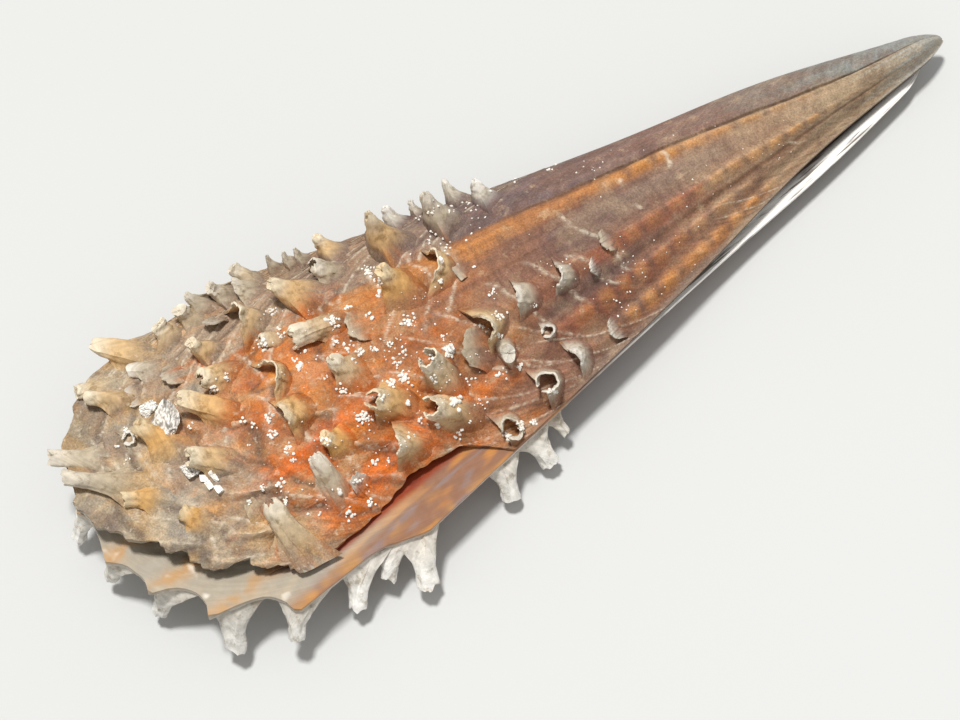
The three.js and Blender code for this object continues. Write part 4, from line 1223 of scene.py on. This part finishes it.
    def chalky(self, shade):
        """Pale spines, warmer at the root and flecked, a little darker at the hind end."""
        flecks = self.mix(self.band(self.patch, 0.5, 0.34), colour(FLECK_PALE), colour(FLECK_DARK))
        flecks = self.scale(flecks, self.band(self.film, 0.3, 0.7, 0.9, 1.12))
        hind_shade = self.band(self.reach, *DARK_SPINES_ALONG, 1.0, 0.82)
        for stops, start, end in ((SPINE_ROOT, 0.08, 0.45), (SPINE_POINT, 0.45, 0.95)):
            chalk = self.mix(1.0, self.ramp(self.value("warmth"), stops), flecks, "MULTIPLY")
            chalk = self.scale(chalk, self.band(self.bent, -0.85, 0.55, hind_shade, 1.0))
            chalk = self.scale(chalk, self.band(self.lines, 0.3, 0.7, 0.86, 1.1))
            shade = self.mix(self.band(self.spine, start, end, 0.0, 0.94), shade, chalk)
        return shade

    def hollow(self):
        """Inside of a valve: painted shade at the front, orange spots, a grey margin with stains and white
        chips, and a painted shadow under the broken edge.
        """
        line, hind = self.line, self.value("hind")
        spots = self.stretched(*SPOTS)
        shade = self.tint(colour(INSIDE), INSIDE_ORANGE, self.band(spots, 0.5, 0.64, 0.0, 0.8))
        shade = self.tint(shade, INSIDE_LILAC, self.band(spots, 0.44, 0.34, 0.0, 0.6))
        # Painted shade: the inside darkens towards the front, where the valves close on a narrow gap
        shade = self.tint(shade, INSIDE_GAP_SHADE, self.band(self.reach, *INSIDE_GAP_SHADE_ALONG, 0.0, 0.85))
        greyed = self.times(self.band(hind, 0.84, 0.95, 0.0, 0.85), self.band(line, -0.86, -0.74))
        shade = self.mix(greyed, shade, self.mix(self.patch, colour(MARGIN_GREY), colour(MARGIN_PALE)))
        soft = self.noise(self.place, *SOFT)
        shade = self.tint(shade, LOBE_OCHRE, self.value("stain"), self.band(soft, 0.4, 0.62, 0.0, 0.7))
        chipped = self.times(self.band(hind, 0.88, 0.95), self.band(line, -0.82, -0.7))
        shade = self.tint(shade, CHIP_WHITE, self.band(soft, 0.62, 0.7, 0.0, 0.8), chipped)
        # Painted shadow: a dark red-brown strip on the lower valve's inside, just under the upper valve's
        # broken edge
        shadow_strip = self.times(self.band(line, -0.785, -0.735), self.band(line, -0.55, -0.65))
        shadow_strip = self.times(shadow_strip, self.band(hind, 0.99, 0.95), self.band(self.reach, *BREAK_SHADOW_ALONG))
        shade = self.tint(shade, BREAK_SHADOW, shadow_strip)
        return self.scale(shade, self.band(self.lines, 0.3, 0.7, 0.92, 1.06))

    def rim(self):
        """White rim of the lower valve, streaked behind the tip and plainer at the hind end."""
        streaked = self.mix(self.band(self.streaks, 0.36, 0.47), colour(RIM_DARK), colour(RIM_WHITE))
        plain = self.mix(self.patch, colour(HIND_RIM_DARK), colour(HIND_RIM_PALE))
        return self.mix(self.band(self.reach, *HIND_RIM_ALONG, 0.0, 0.75), streaked, plain)


def shell_paint(name):
    p = ShellPaint(name)
    shade = p.chalky(p.weathered(p.field()))
    shade = p.mix(p.times(p.value("inside"), p.band(p.spine, 0.3, 0.0)), shade, p.hollow())
    shade = p.mix(p.value("rim"), shade, p.rim())
    p.feed(p.shader.inputs["Base Color"], shade)
    p.feed(p.shader.inputs["Roughness"], p.band(p.film, 0.3, 0.7, *SHELL_ROUGH))
    p.shader.inputs["Specular IOR Level"].default_value = SHELL_SHINE
    height = p.math("ADD", p.times(p.lines, 0.6), p.times(p.film, 0.5))
    p.bump(p.math("ADD", height, p.times(p.streaks, 0.2)), 0.45, 0.0005)
    return p.material


def strip_paint():
    p = Paint("horny_strip")
    grain = p.noise(p.object_place(), 500.0, 4.0)
    p.feed(p.shader.inputs["Base Color"], p.mix(grain, colour(STRIP_DARK), colour(STRIP_PALE)))
    p.shader.inputs["Roughness"].default_value = STRIP_ROUGH
    p.bump(grain, 0.5, 0.0004)
    return p.material


def sand_paint():
    p = Paint("coral_sand")
    grain = p.noise(p.object_place(), 900.0, 3.0)
    shade = p.ramp(p.value("pale"), SAND_SHADES)
    p.feed(p.shader.inputs["Base Color"], p.scale(shade, p.band(grain, 0.3, 0.7, 0.85, 1.05)))
    p.shader.inputs["Roughness"].default_value = SAND_ROUGH
    p.bump(grain, 0.4, 0.0003)
    return p.material


def floor_piece():
    p = Paint("floor")
    grain = p.noise(p.object_place(), 3.0, 2.0)
    p.feed(p.shader.inputs["Base Color"], p.mix(grain, colour(FLOOR_DARK), colour(FLOOR_PALE)))
    p.shader.inputs["Roughness"].default_value = FLOOR_ROUGH
    corners = np.array([(-1, -1, 0), (1, -1, 0), (1, 1, 0), (-1, 1, 0)]) * FLOOR_HALF
    return mesh_piece("floor", corners, [(0, 1, 2, 3)], {}, p.material)


def aim(thing, direction):
    thing.rotation_euler = Vector(direction).to_track_quat("-Z", "Y").to_euler()


def studio():
    """Soft key light from behind the hinge edge, even fill, and the camera at the picture's angle."""
    key = bpy.data.objects.new("key", bpy.data.lights.new("key", "SUN"))
    key.data.energy = KEY_POWER
    key.data.angle = KEY_ANGLE
    aim(key, [-v for v in KEY_FROM])
    world = bpy.data.worlds.new("studio")
    world.use_nodes = True
    fill = world.node_tree.nodes["Background"]
    fill.inputs["Color"].default_value = FILL_COLOUR
    fill.inputs["Strength"].default_value = FILL_POWER
    bpy.context.scene.world = world
    camera = bpy.data.objects.new("camera", bpy.data.cameras.new("camera"))
    camera.data.lens = LENS
    camera.data.sensor_width = SENSOR
    camera.data.clip_start = CLIP_START
    camera.location = CAMERA_AT
    aim(camera, Vector(CAMERA_TO) - Vector(CAMERA_AT))
    for thing in (key, camera):
        bpy.context.scene.collection.objects.link(thing)
    bpy.context.scene.camera = camera
    bpy.context.scene.view_settings.view_transform = "Standard"


def tree_of(*pieces):
    """Search tree over several pieces, for setting grains on them."""
    points, faces = [], []
    for piece in pieces:
        base = len(points)
        points += [vertex.co.copy() for vertex in piece.data.vertices]
        faces += [[base + corner for corner in face.vertices] for face in piece.data.polygons]
    return BVHTree.FromPolygons(points, faces)


upper_paint = shell_paint("upper_shell")
lower_paint = shell_paint("lower_shell")

upper_valve = valve_piece("upper_valve_skin", UPPER, upper_paint)
upper_spines = spines_piece("upper_spines", UPPER, UPPER_SPINES, upper_paint)
lower_valve = valve_piece("lower_valve_skin", LOWER, lower_paint)
lower_spines = spines_piece("lower_spines", LOWER, LOWER_SPINES, lower_paint)
ligament = strip_piece("ligament_strip", strip_paint())
sand = sand_piece("clinging_sand", tree_of(upper_valve, upper_spines), sand_paint())

for piece, slot, node in (
    (upper_valve, "upper_shell", "upper_valve"), (upper_spines, "upper_shell", None),
    (lower_valve, "lower_shell", "lower_valve"), (lower_spines, "lower_shell", None),
    (ligament, "horny_strip", "ligament"), (sand, "upper_shell", None),
):
    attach(piece, "root")
    if node:
        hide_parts(node)

studio()
floor_piece()
